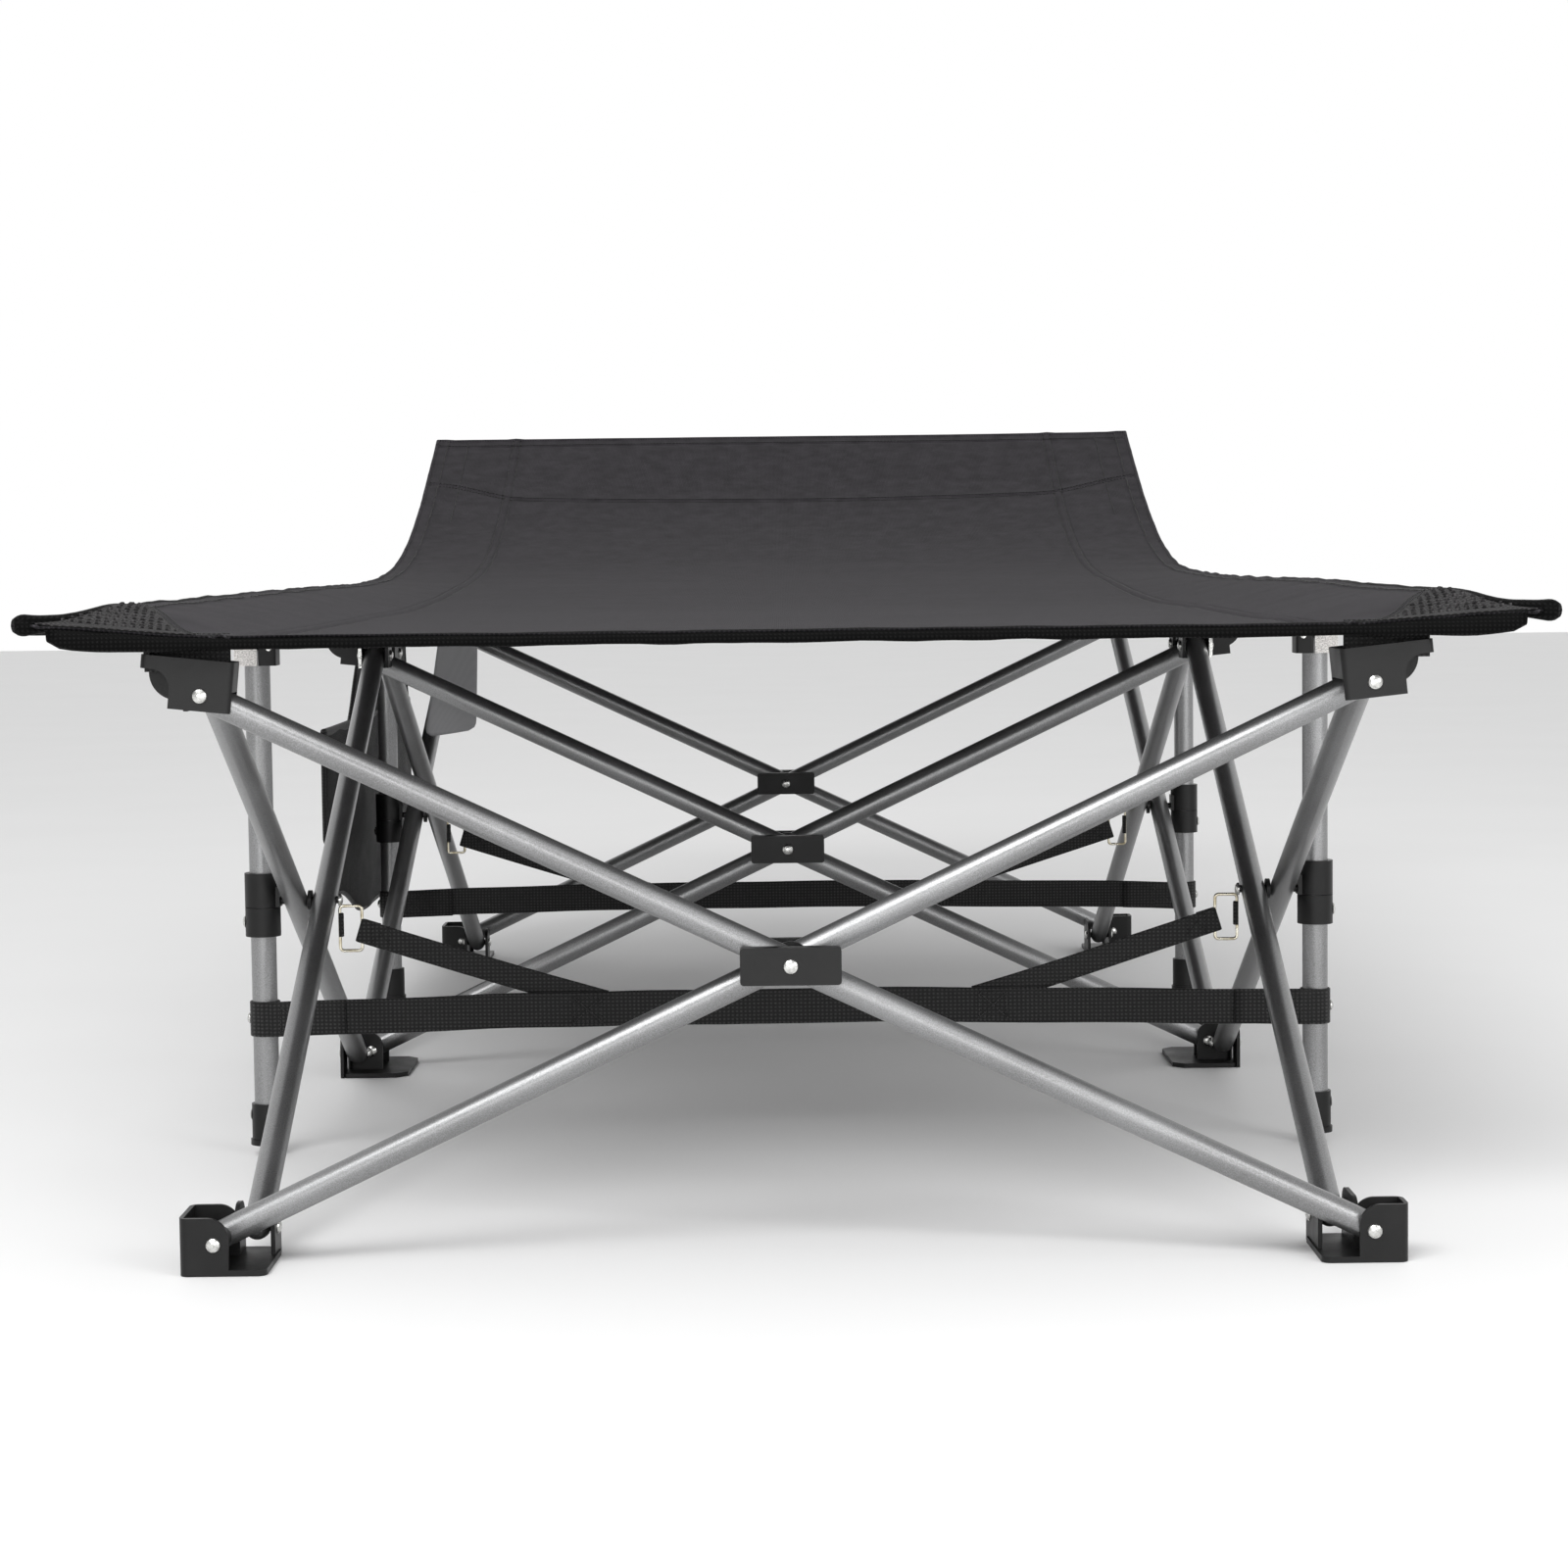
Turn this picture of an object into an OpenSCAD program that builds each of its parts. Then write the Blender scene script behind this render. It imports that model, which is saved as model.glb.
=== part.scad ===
// Folding camp cot: three crosswise scissors joined by four lengthwise scissors, all of equal
// geometry, so that every foot, top bracket and hub stays upright while the cot folds.
// X is to the right, Y runs from the foot end (-Y) to the head end (+Y), Z is up. Millimetres.

/* [Frame] */
// Half of the distance between the crosswise pivots at one height
half_span = 386; // [370:1:400]
// Height of the lower pivots over the floor
low_pivot = 21; // [20:0.5:24]
// Height of the upper pivots over the floor
high_pivot = 386; // [370:1:400]
// Distance between neighbouring crosswise scissors
bay = 844; // [820:1:870]
// Distance from a crosswise scissor to the pivots of the lengthwise tubes beside it
side_pivot = 36; // [36:0.5:40]

/* [Tubes] */
// Outside diameter of the scissor tubes
tube_d = 19; // [18:0.5:19.5]
// Wall thickness of the tubes
tube_wall = 1.3; // [1:0.1:2]
// Gap between two tubes that cross at a hub
cross_gap = 3.6; // [3:0.2:4]
// Outside diameter of the upright posts
post_d = 20; // [19:0.5:21]
// Distance of the posts from the middle of the cot
post_x = 419.5; // [418:0.5:424]

/* [Fittings] */
// Wall thickness of the moulded fittings
wall = 3; // [2.5:0.1:3.4]
// Tilt of the top brackets, outer side up
bracket_tilt = 6; // [0:0.5:8]
// Radius of the pivot bolts
bolt_r = 3; // [2.5:0.1:3.4]
// Length of the hub block
hub_l = 67; // [60:1:70]

/* [Fabric] */
// Overhang of the bed in front of the foot end scissor
front_over = 42; // [38:1:48]
// Overhang of the raised head behind the head end scissor
head_over = 398; // [380:1:410]
// Height of the head edge over the floor
head_top = 622; // [600:1:632]
// Thickness of the bed fabric with its lining
cloth = 2; // [1.5:0.5:4]
// Half width of the bed at its foot end corners
tip_half = 505; // [490:1:515]
// Width of the webbing straps between the posts
strap_w = 28; // [24:1:32]

/* [Hidden] */
$fn = 48;
running = 0.06;            // radial clearance of a bolt in the part that turns on it
seat = 0.02;               // radial gap of a part that is fixed on a tube
air = 1.2;                 // gap beside a tube inside its fitting
tube_r = tube_d / 2;
post_r = post_d / 2;
lean = atan((high_pivot - low_pivot) / (2 * half_span));
strut_l = norm([2 * half_span, high_pivot - low_pivot]);
mid_z = (low_pivot + high_pivot) / 2;
layer = (tube_d + cross_gap) / 2;      // distance of a crosswise tube from its scissor's plane
slot = tube_r + air;                   // half width of the space for a tube
skin = slot + wall;                    // the same, with the wall of the fitting
face = layer + skin;                   // front face of every fitting, before its scissor's plane
y_shift = (front_over - head_over) / 2;
y_row = [y_shift - bay, y_shift, y_shift + bay];
y_post = [y_shift - bay / 2, y_shift + bay / 2];
y_front = y_row[0] - front_over;
y_back = y_row[2] + head_over;
outer_foot = 12;           // lengthwise tube on the outside: inwards offset at its foot, negated
outer_top = 2;
inner_foot = 20;           // lengthwise tube on the inside: inwards offset at its foot
inner_top = 12;
foot_h = 39;
foot_out = 23;             // how far a fitting reaches outwards from the crosswise pivot
foot_in = 35;
ear_in = 10;
base_t = 4;
box_top = 24;              // top bracket: its edges over and under the crosswise pivot
box_low = -10;
box_half = 20.5;
ear_out = 41;
ear_low = 15;
hollow_r = 12.5;
arm_z = 41;                // corner arm over the crosswise pivot
big = 200;
collar_z = [199, 226];
stop_z = [175.5, 198.5];
cap_z = [8, 41];
head_z = [391, 434];
ring_r = 14;
head_in = 16.5;            // inner side of a post's head: a folded lengthwise tube passes 17.6 away
cross_x = half_span + (outer_foot + outer_top) / 2;    // lengthwise tubes where they cross
cross_in = half_span - (inner_foot + inner_top) / 2;
strap_t = 1.6;
strap_z = 97;
arm_pivot = [36, 22];      // head arm pivot, rearwards and upwards from the rear crosswise pivot
arm_x = 414;

edge_z = 446;              // height of the bed's edges, and how far it sags between them
dish = [[-600, 0], [-450, 0], [-370, 12], [-300, 22], [0, 24], [300, 22], [370, 12], [450, 0], [600, 0]];
rise_y = 660;              // where the bed starts to rise to the head, and over what length it bends
rise_soft = 110;
head_slope = (head_top - edge_z) / (rise_soft * ln(1 + exp((y_back - rise_y) / rise_soft)));
mid_half = 442.5;          // half width of the bed away from its corners
tag_y = 300;               // places of the care tag and the side pocket along the cot
pocket_y = [-30, 700];
yoke_y = [180, 620];
pocket_x = [-458, -441];
pocket_z = [110, 306];

steel = [0.50, 0.51, 0.53];
bare = [0.78, 0.78, 0.76];
black = [0.13, 0.13, 0.13];
cloth_c = [0.24, 0.24, 0.25];
brass = [0.80, 0.72, 0.52];

// ---- helpers ----

// a box between two corners
module block(a, b) {
  translate(a)
    cube(b - a);
}

// a box with rounded upright edges
module rblock(a, b, r) {
  block([a[0] + r, a[1], a[2]], [b[0] - r, b[1], b[2]]);
  block([a[0], a[1] + r, a[2]], [b[0], b[1] - r, b[2]]);
  for (x = [a[0] + r, b[0] - r])
    for (y = [a[1] + r, b[1] - r])
      translate([x, y, a[2]])
        cylinder(r = r, h = b[2] - a[2]);
}

// what lies outside a quarter round of radius r at the corner (x, z), cut along Y
module corner_y(x, z, r, sx, sz) {
  difference() {
    translate([x - sx * r, -big, z - sz * r])
      scale([sx, 1, sz])
        cube([r + 1, 2 * big, r + 1]);
    translate([x - sx * r, -big - 1, z - sz * r])
      rotate([-90, 0, 0])
        cylinder(r = r, h = 2 * big + 2);
  }
}

// a cylinder along Y
module rod_y(x, y0, y1, z, r) {
  translate([x, y0, z])
    rotate([-90, 0, 0])
      cylinder(r = r, h = y1 - y0);
}

// a cylinder along X
module rod_x(x0, x1, y, z, r) {
  translate([x0, y, z])
    rotate([0, 90, 0])
      cylinder(r = r, h = x1 - x0);
}

// domed bolt head standing on the plane z = 0
module dome() {
  rotate_extrude()
    polygon([[0, -0.5], [5, -0.5], [5, 0.6], [4.5, 1.5], [3.2, 2.3], [1.6, 2.7], [0, 2.8]]);
}

// bolt along Y with a head at each end
module bolt_y(x, y0, y1, z) {
  rod_y(x, y0, y1, z, bolt_r);
  translate([x, y0, z])
    rotate([90, 0, 0])
      dome();
  translate([x, y1, z])
    rotate([-90, 0, 0])
      dome();
}

// bolt along X with a head at each end
module bolt_x(x0, x1, y, z) {
  rod_x(x0, x1, y, z, bolt_r);
  translate([x0, y, z])
    rotate([0, -90, 0])
      dome();
  translate([x1, y, z])
    rotate([0, 90, 0])
      dome();
}

// a tube from p to q with domed end plugs. Its three bolt holes run along X or Y
module strut(p, q, along_x) {
  d = q - p;
  l = norm(d);
  difference() {
    translate(p)
      rotate([0, acos(d[2] / l), atan2(d[1], d[0])])
        difference() {
          rotate_extrude()
            polygon([[0, -9], [4, -8.4], [7, -6], [8.8, -2.8], [tube_r, 0.5],
              [tube_r, l - 0.5], [8.8, l + 2.8], [7, l + 6], [4, l + 8.4], [0, l + 9]]);
          translate([0, 0, 22])
            cylinder(r = tube_r - tube_wall, h = l - 44);
        }
    for (t = [0, 0.5, 1]) {
      c = p + t * d;
      if (along_x)
        rod_x(c[0] - 30, c[0] + 30, c[1], c[2], bolt_r + running);
      else
        rod_y(c[0], c[1] - 30, c[1] + 30, c[2], bolt_r + running);
    }
  }
}

// ---- the scissor tubes ----

// side is -1 on the left. Crosswise tube a rises from the left foot, b from the right foot
module cross_tube(row, kind) {
  s = kind == "a" ? -1 : 1;
  back = row == 2 ? -1 : 1;
  y = y_row[row] - s * back * layer;
  color(steel)
    strut([s * half_span, y, low_pivot], [-s * half_span, y, high_pivot], false);
}

// end is 0 for the foot end bay and 1 for the head end bay
module outer_tube(side, end) {
  way = end == 0 ? -1 : 1;
  color(steel)
    strut([side * (half_span + outer_foot), y_row[1] + way * side_pivot, low_pivot],
      [side * (half_span + outer_top), y_row[2 * end] - way * side_pivot, high_pivot], true);
}

module inner_tube(side, end) {
  way = end == 0 ? -1 : 1;
  color(steel)
    strut([side * (half_span - inner_foot), y_row[2 * end] - way * side_pivot, low_pivot],
      [side * (half_span - inner_top), y_row[1] + way * side_pivot, high_pivot], true);
}

// ---- moulded fittings, drawn with x inwards from the crosswise pivot and y into the bay ----

// puts a fitting at its corner: side -1 is left, row 0 is the foot end
module at_corner(side, row, z) {
  translate([side * half_span, y_row[row], z])
    mirror([side > 0 ? 1 : 0, 0, 0])
      mirror([0, row == 2 ? 1 : 0, 0])
        children();
}

// a wall across X with a rounded top at both ends, between y0 and y1
module cheek(x0, x1, y0, y1, z0, z1, r) {
  difference() {
    block([x0, y0, z0], [x1, y1, z1]);
    for (e = [0, 1])
      translate([0, e == 0 ? y0 : y1, z1])
        rotate([0, 90, 0])
          difference() {
            translate([-1, e == 0 ? -1 : -r, -big])
              cube([r + 1, r + 1, 2 * big]);
            translate([r, e == 0 ? r : -r, -big - 1])
              cylinder(r = r, h = 2 * big + 2);
          }
  }
}

// foot: ty is the place of its crosswise tube, sides holds +1 and -1 for the lengthwise tubes
module foot(ty, sx, inner, sides) {
  color(black) {
    // channel of the crosswise tube
    difference() {
      rblock([-foot_out, -face, 0], [foot_in, ty + skin, foot_h], 6);
      block([-foot_out + wall, -face + wall, base_t], [foot_in + 20, ty + slot, big]);
      block([ear_in, -big, base_t], [foot_in + 20, big, big]);
      corner_y(ear_in, foot_h, 14, 1, 1);
    }
    bolt_y(0, -face, ty + skin - sunk(ty), low_pivot);
    boss(ty, low_pivot);
    for (s = sides) {
      y0 = (s < 0 ? layer : ty) + skin - 1.5;
      y1 = side_pivot + slot + 4;
      scale([1, s, 1]) {
        difference() {
          rblock([-foot_out, y0 - 12, 0], [foot_in, y1, base_t], 5);
          translate([foot_in, y1, -1])
            rotate([0, 0, 45])
              block([-7, -big, 0], [7, big, 10]);
        }
        // cheeks beside the lengthwise tube
        cheek(sx - skin, sx - slot, y0, y1, 0, foot_h - 1, 12);
        if (inner)
          cheek(sx + slot, sx + skin, y0, y1, 0, foot_h - 1, 12);
        bolt_x(sx - skin, inner ? sx + skin : sx + tube_r + 1, side_pivot, low_pivot);
      }
    }
  }
}

// a bolt's rear head is sunk where a lengthwise tube ends close behind it
function sunk(ty) = ty > 0 ? 2.2 : 0;

// spacer round a bolt, where the crosswise tube runs behind its scissor's plane
module boss(ty, z) {
  if (ty > 0)
    rod_y(0, -face + wall - 0.5, ty - tube_r - 0.7, z, 8);
}

// top bracket: like the foot, but open downwards and tilted
module top_bracket(ty, sx, sides, arm) {
  color(black) {
    rotate([0, bracket_tilt, 0]) {
      difference() {
        rblock([-ear_out, -face, box_low], [box_half, ty + skin, box_top], 4);
        block([-box_half + wall, -face + wall, box_low - 1],
          [box_half - wall, ty + slot, box_top + 1]);
        // the inner end is open under the tube's upper edge
        block([box_half - wall - 1, -face + wall, box_low - 1], [box_half + 1, ty + slot, 4]);
        // recess above the ear
        block([-ear_out + wall, -face + wall, box_top - 6],
          [-box_half - 1, ty + slot, box_top + 1]);
        // before the rear wall, the ear's underside meets the box in a hollow quarter round
        block([-big, -face - 1, box_low - 1], [-box_half, ty + slot, 2.5]);
        block([-big, -face - 1, 2], [-box_half - hollow_r, ty + slot, ear_low]);
        rod_y(-box_half - hollow_r, -face - 1, ty + slot, 2.5, hollow_r);
        // the rear wall ends in a quarter disc
        difference() {
          block([-big, ty + slot - 1, box_low - 1], [-box_half, ty + skin + 1, ear_low]);
          rod_y(-box_half, -big, big, ear_low - 2, 18.5);
        }
      }
      // rib across the open top
      block([-7.5, -face + 1, box_top - 9], [-4.5, ty + skin - 1, box_top - 1]);
    }
    bolt_y(0, -face, ty + skin - sunk(ty), 0);
    boss(ty, 0);
    for (s = sides) {
      y0 = (s < 0 ? layer : ty) + skin - 1.5;
      y1 = side_pivot + slot + 3;
      scale([1, s, 1]) {
        cheek(sx - skin, sx - slot, y0, y1, -11, 20, 9);
        cheek(sx + slot, sx + skin, y0, y1, -11, 20, 9);
        bolt_x(sx - skin, sx + skin, side_pivot, 0);
        // roof over the lengthwise tube's end
        block([sx - skin, y0, 16], [sx + skin, side_pivot - 1, 20]);
      }
    }
    if (arm)
      corner_arm(ty);
  }
}

// flat arm that carries the bed's corner
module corner_arm(ty) {
  reach = tip_half - half_span - 14;
  block([-reach, ty - 9, arm_z], [-ear_out + 8, ty + 9, arm_z + 3.5]);
  block([-ear_out + 4, ty - 9, 22], [-ear_out + 8, ty + 9, arm_z + 3.5]);
  translate([-reach, ty, arm_z])
    cylinder(r = 9, h = 3.5);
}

// hub of a crosswise scissor: a block before, between and behind the tubes
module hub(row) {
  back = row == 2 ? -1 : 1;
  half_h = 12.5;
  thick = 11;
  out = layer + tube_r + 0.5;
  color(black)
    translate([0, y_row[row], mid_z])
      scale([1, back, 1]) {
        difference() {
          rotate([90, 0, 0])
            translate([0, 0, out])
              rblock([-hub_l / 2, -half_h, 0], [hub_l / 2, half_h, thick], 2.5);
          block([-hub_l / 2 + 3, -out - 1.2, -half_h + 3], [hub_l / 2 - 3, -out + 1, half_h - 3]);
        }
        rod_y(0, -out - thick + 1, -out, 0, 9);
        rotate([-90, 0, 0])
          translate([0, 0, out])
            rblock([-hub_l / 2, -half_h, 0], [hub_l / 2, half_h, 6], 2.5);
        rod_y(0, -cross_gap / 2 + 0.3, cross_gap / 2 - 0.3, 0, 13);
        bolt_y(0, -out - thick, out + 6, 0);
      }
}

// ---- posts, drawn at the origin with x inwards ----

module at_post(side, end) {
  translate([side * post_x, y_post[end], 0])
    mirror([side > 0 ? 1 : 0, 0, 0])
      children();
}

module post(side, end) {
  at_post(side, end) {
    color(steel)
      difference() {
        translate([0, 0, cap_z[0] + 4])
          cylinder(r = post_r, h = head_z[0] + 12 - cap_z[0] - 4);
        translate([0, 0, cap_z[0]])
          cylinder(r = post_r - tube_wall, h = head_z[1]);
      }
    // bare metal saddle on the outer side of the head
    color(bare)
      difference() {
        block([-16.5, -11, head_z[0]], [1.5, 11, head_z[1] - 4]);
        translate([0, 0, head_z[0] - 1])
          cylinder(r = post_r + seat, h = 13.5);
        block([-14, -8.5, head_z[0] + 15], [2, 8.5, head_z[1]]);
      }
  }
}

// what is fixed on a post: foot cap, stop ring and the black half of the head
module fittings(side, end) {
  color(black)
    at_post(side, end) {
      difference() {
        union() {
          translate([0, 0, cap_z[0]])
            cylinder(r = 12.4, h = cap_z[1] - cap_z[0]);
          translate([0, 0, cap_z[0]])
            cylinder(r = 13.6, h = 4.5);
          translate([-11, 0, cap_z[1] - 9])
            rotate([0, -90, 0])
              dome();
        }
        translate([0, 0, cap_z[0] + 4])
          cylinder(r = post_r + seat, h = 60);
      }
      difference() {
        union() {
          translate([0, 0, stop_z[0]])
            cylinder(r = ring_r, h = stop_z[1] - stop_z[0]);
          translate([-ring_r + 0.6, 0, (stop_z[0] + stop_z[1]) / 2])
            rotate([0, -90, 0])
              dome();
        }
        translate([0, 0, stop_z[0] - 1])
          cylinder(r = post_r + seat, h = 60);
      }
      difference() {
        union() {
          rblock([2.5, -12, head_z[0]], [head_in, 12, head_z[1]], 2);
          translate([11, -11.6, head_z[0] + 14])
            rotate([90, 0, 0])
              cylinder(r = 2.2, h = 1.2);
        }
        translate([0, 0, head_z[0] - 1])
          cylinder(r = post_r + seat, h = 13.5);
      }
    }
}

// sliding collar, with the bolt through the crossing of the lengthwise tubes
module collar(side, end) {
  in_end = post_x - cross_in + tube_r + 2.2;
  gap0 = post_x - cross_x + tube_r + 0.5;
  gap1 = post_x - cross_in - tube_r - 0.5;
  color(black)
    at_post(side, end) {
      difference() {
        union() {
          translate([0, 0, collar_z[0]])
            cylinder(r = ring_r, h = collar_z[1] - collar_z[0]);
          block([0, -8, collar_z[0]], [ring_r + 0.6, 8, collar_z[0] + 16]);
        }
        translate([0, 0, collar_z[0] - 1])
          cylinder(r = post_r + running, h = 60);
      }
      difference() {
        rod_x(ring_r - 2, in_end, 0, mid_z, bolt_r);
        translate([0, 0, collar_z[0] - 1])
          cylinder(r = post_r + running, h = 60);
      }
      rod_x(gap0, gap1, 0, mid_z, 8);
      translate([in_end, 0, mid_z])
        rotate([0, 90, 0])
          dome();
    }
}

// ---- head arms, straps and cloth ----

// arm from the rear bracket up to the corner of the raised head
module head_arm(side) {
  p = [side * arm_x, y_row[2] + arm_pivot[0], high_pivot + arm_pivot[1]];
  q = [side * (arm_x + 16), y_back - 12, head_top - 26];
  d = q - p;
  l = norm(d);
  color(steel)
    difference() {
      translate(p)
        rotate([0, acos(d[2] / l), atan2(d[1], d[0])])
          difference() {
            rotate_extrude()
              polygon([[0, -8], [4, -7.2], [6.5, -5], [8, 0],
                [8, l], [6.5, l + 5], [4, l + 7.2], [0, l + 8]]);
            translate([0, 0, 20])
              cylinder(r = 6.8, h = l - 40);
            rod_y(0, -20, 20, l / 2, 1.5);
          }
      rod_x(p[0] - 30, p[0] + 30, p[1], p[2], bolt_r + running);
    }
}

// bracket ear that holds a head arm, drawn like the top bracket
module arm_ear() {
  x = half_span - arm_x;
  color(black) {
    cheek(x + 8 + air, x + 8 + air + wall, -arm_pivot[0] - 13, -face + 8, 2, arm_pivot[1] + 11, 9);
    bolt_x(x - 8 - air, x + 8 + air + wall, -arm_pivot[0], arm_pivot[1]);
  }
}

// half width of the bed along it: wider towards the foot end corners
function bed_edge(y) = mid_half + 26 * exp((y_front - y) / 170)
  + (tip_half - mid_half - 26) * exp((y_front - y) / 30);

function strip_points(y0, y1, side) = [for (k = [0:14])
  let (t = (side > 0 ? k : 14 - k) / 14, y = y0 + (y1 - y0) * t * t) [side * bed_edge(y), y]];

// one strip of the bed: raised at its edges, lower in the middle
module bed_strip(y0, y1) {
  color(cloth_c)
    intersection() {
      translate([0, 0, head_z[0]])
        linear_extrude(height = 100)
          polygon(concat(strip_points(y0, y1, 1), strip_points(y0, y1, -1)));
      translate([0, y1, 0])
        rotate([90, 0, 0])
          linear_extrude(height = y1 - y0)
            polygon(concat([for (p = dish) [p[0], edge_z - p[1]]],
              [for (k = [len(dish) - 1:-1:0]) [dish[k][0], edge_z - dish[k][1] - cloth]]));
    }
}

// height of the bed's edge: level at first, then taut up to the head edge
function rise(y) = edge_z + head_slope * rise_soft * ln(1 + exp((y - rise_y) / rise_soft));

// the rising part of the bed, between two places along it
module rising_strip(y0, y1) {
  steps = 8;
  ys = [for (k = [0:steps]) y0 + (y1 - y0) * k / steps];
  color(cloth_c)
    intersection() {
      translate([0, 0, head_z[0]])
        linear_extrude(height = 300)
          polygon(concat(strip_points(y0, y1, 1), strip_points(y0, y1, -1)));
      rotate([90, 0, -90])
        translate([0, 0, -600])
          linear_extrude(height = 1200)
            polygon(concat([for (y = ys) [-y, rise(y)]],
              [for (k = [steps:-1:0]) [-ys[k], rise(ys[k]) - cloth]]));
    }
}

// strap between two posts, with a loop round each
module strap(end) {
  r = post_r + 0.3;
  color(black)
    translate([0, y_post[end], strap_z]) {
      for (s = [-1, 1])
        translate([s * post_x, 0, 0])
          difference() {
            cylinder(r = r + strap_t, h = strap_w);
            translate([0, 0, -1])
              cylinder(r = r, h = strap_w + 2);
          }
      difference() {
        block([-post_x, -r - strap_t, 0], [post_x, -r, strap_w]);
        for (s = [-1, 1])
          translate([s * post_x, 0, -1])
            cylinder(r = r, h = strap_w + 2);
      }
    }
}

// strap from the ring down to the middle of the strap between the posts
module branch(side, end) {
  x0 = cross_in - 18;
  color(black)
    translate([side * x0, y_post[end], 180])
      scale([-side, 1, 1])
        rotate([0, 18, 0])
          block([-5, 7, -10], [150, 8.6, 10]);
}

// rectangular wire ring, hung from the crossing bolt on a short tab
module ring(side, end) {
  wire = 1.2;
  w = 8.6;
  h = 15;
  color(brass)
    translate([side * (cross_in - 21), y_post[end] + side * 4, 181]) {
      for (s = [-1, 1]) {
        translate([s * w, 0, -h])
          cylinder(r = wire, h = 2 * h);
        rod_x(-w, w, 0, s * h, wire);
        for (t = [-1, 1])
          translate([s * w, 0, t * h])
            sphere(r = wire * 1.15);
      }
    }
}

// open topped side pocket, hung by a yoke from the bed's left edge
module pocket() {
  skin_t = 1.5;
  color(black) {
    difference() {
      block([pocket_x[0], pocket_y[0], pocket_z[0]], [pocket_x[1], pocket_y[1], pocket_z[1]]);
      block([pocket_x[0] + skin_t, pocket_y[0] + skin_t, pocket_z[0] + skin_t],
        [pocket_x[1] - skin_t, pocket_y[1] - skin_t, pocket_z[1] + 1]);
    }
    block([pocket_x[1] - skin_t, yoke_y[0], pocket_z[1] - 1], [pocket_x[1], yoke_y[1], edge_z - 4]);
  }
}

// small blank tag, hung from the inset seam of the bed
module care_tag() {
  color([0.5, 0.5, 0.5])
    block([-380, tag_y, 289], [-328, tag_y + 0.8, edge_z - 8]);
}

// ---- the parts ----

cross_tube(0, "a");  // cross_a_1
cross_tube(1, "a");  // cross_a_2
cross_tube(2, "a");  // cross_a_3
cross_tube(0, "b");  // cross_b_1
cross_tube(1, "b");  // cross_b_2
cross_tube(2, "b");  // cross_b_3
outer_tube(-1, 0);  // side_out_fl
outer_tube(1, 0);  // side_out_fr
outer_tube(-1, 1);  // side_out_rl
outer_tube(1, 1);  // side_out_rr
inner_tube(-1, 0);  // side_in_fl
inner_tube(1, 0);  // side_in_fr
inner_tube(-1, 1);  // side_in_rl
inner_tube(1, 1);  // side_in_rr
hub(0);  // hub_1
hub(1);  // hub_2
hub(2);  // hub_3
at_corner(-1, 0, 0) foot(layer, inner_foot, true, [1]);  // foot_fl
at_corner(1, 0, 0) foot(-layer, inner_foot, true, [1]);  // foot_fr
at_corner(-1, 1, 0) foot(layer, -outer_foot, false, [-1, 1]);  // foot_ml
at_corner(1, 1, 0) foot(-layer, -outer_foot, false, [-1, 1]);  // foot_mr
at_corner(-1, 2, 0) foot(layer, inner_foot, true, [1]);  // foot_rl
at_corner(1, 2, 0) foot(-layer, inner_foot, true, [1]);  // foot_rr
at_corner(-1, 0, high_pivot) top_bracket(-layer, -outer_top, [1], true);  // top_fl
at_corner(1, 0, high_pivot) top_bracket(layer, -outer_top, [1], true);  // top_fr
at_corner(-1, 1, high_pivot) top_bracket(-layer, inner_top, [-1, 1], false);  // top_ml
at_corner(1, 1, high_pivot) top_bracket(layer, inner_top, [-1, 1], false);  // top_mr
at_corner(-1, 2, high_pivot) {  // top_rl
    top_bracket(-layer, -outer_top, [1], false);
    arm_ear();
  }
at_corner(1, 2, high_pivot) {  // top_rr
    top_bracket(layer, -outer_top, [1], false);
    arm_ear();
  }
collar(-1, 0);  // collar_fl
collar(1, 0);  // collar_fr
collar(-1, 1);  // collar_rl
collar(1, 1);  // collar_rr
post(-1, 0);  // post_fl
post(1, 0);  // post_fr
post(-1, 1);  // post_rl
post(1, 1);  // post_rr
fittings(-1, 0);  // fittings_fl
fittings(1, 0);  // fittings_fr
fittings(-1, 1);  // fittings_rl
fittings(1, 1);  // fittings_rr
head_arm(-1);  // head_arm_l
head_arm(1);  // head_arm_r
bed_strip(y_front, y_post[0] - 0.5);  // bed_1
bed_strip(y_post[0] + 0.5, y_row[1] - 0.5);  // bed_2
bed_strip(y_row[1] + 0.5, y_post[1] - 0.5);  // bed_3
rising_strip(y_post[1] + 0.5, y_row[2]);  // bed_4
rising_strip(y_row[2] + 1, y_back);  // bed_head
strap(0);  // strap_1
strap(1);  // strap_2
branch(-1, 0);  // branch_fl
branch(1, 0);  // branch_fr
branch(-1, 1);  // branch_rl
branch(1, 1);  // branch_rr
ring(-1, 0);  // ring_fl
ring(1, 0);  // ring_fr
ring(-1, 1);  // ring_rl
ring(1, 1);  // ring_rr
pocket();
care_tag();
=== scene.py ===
import json
import math

import bpy
import numpy as np
from mathutils import Matrix, Vector, noise


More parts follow.
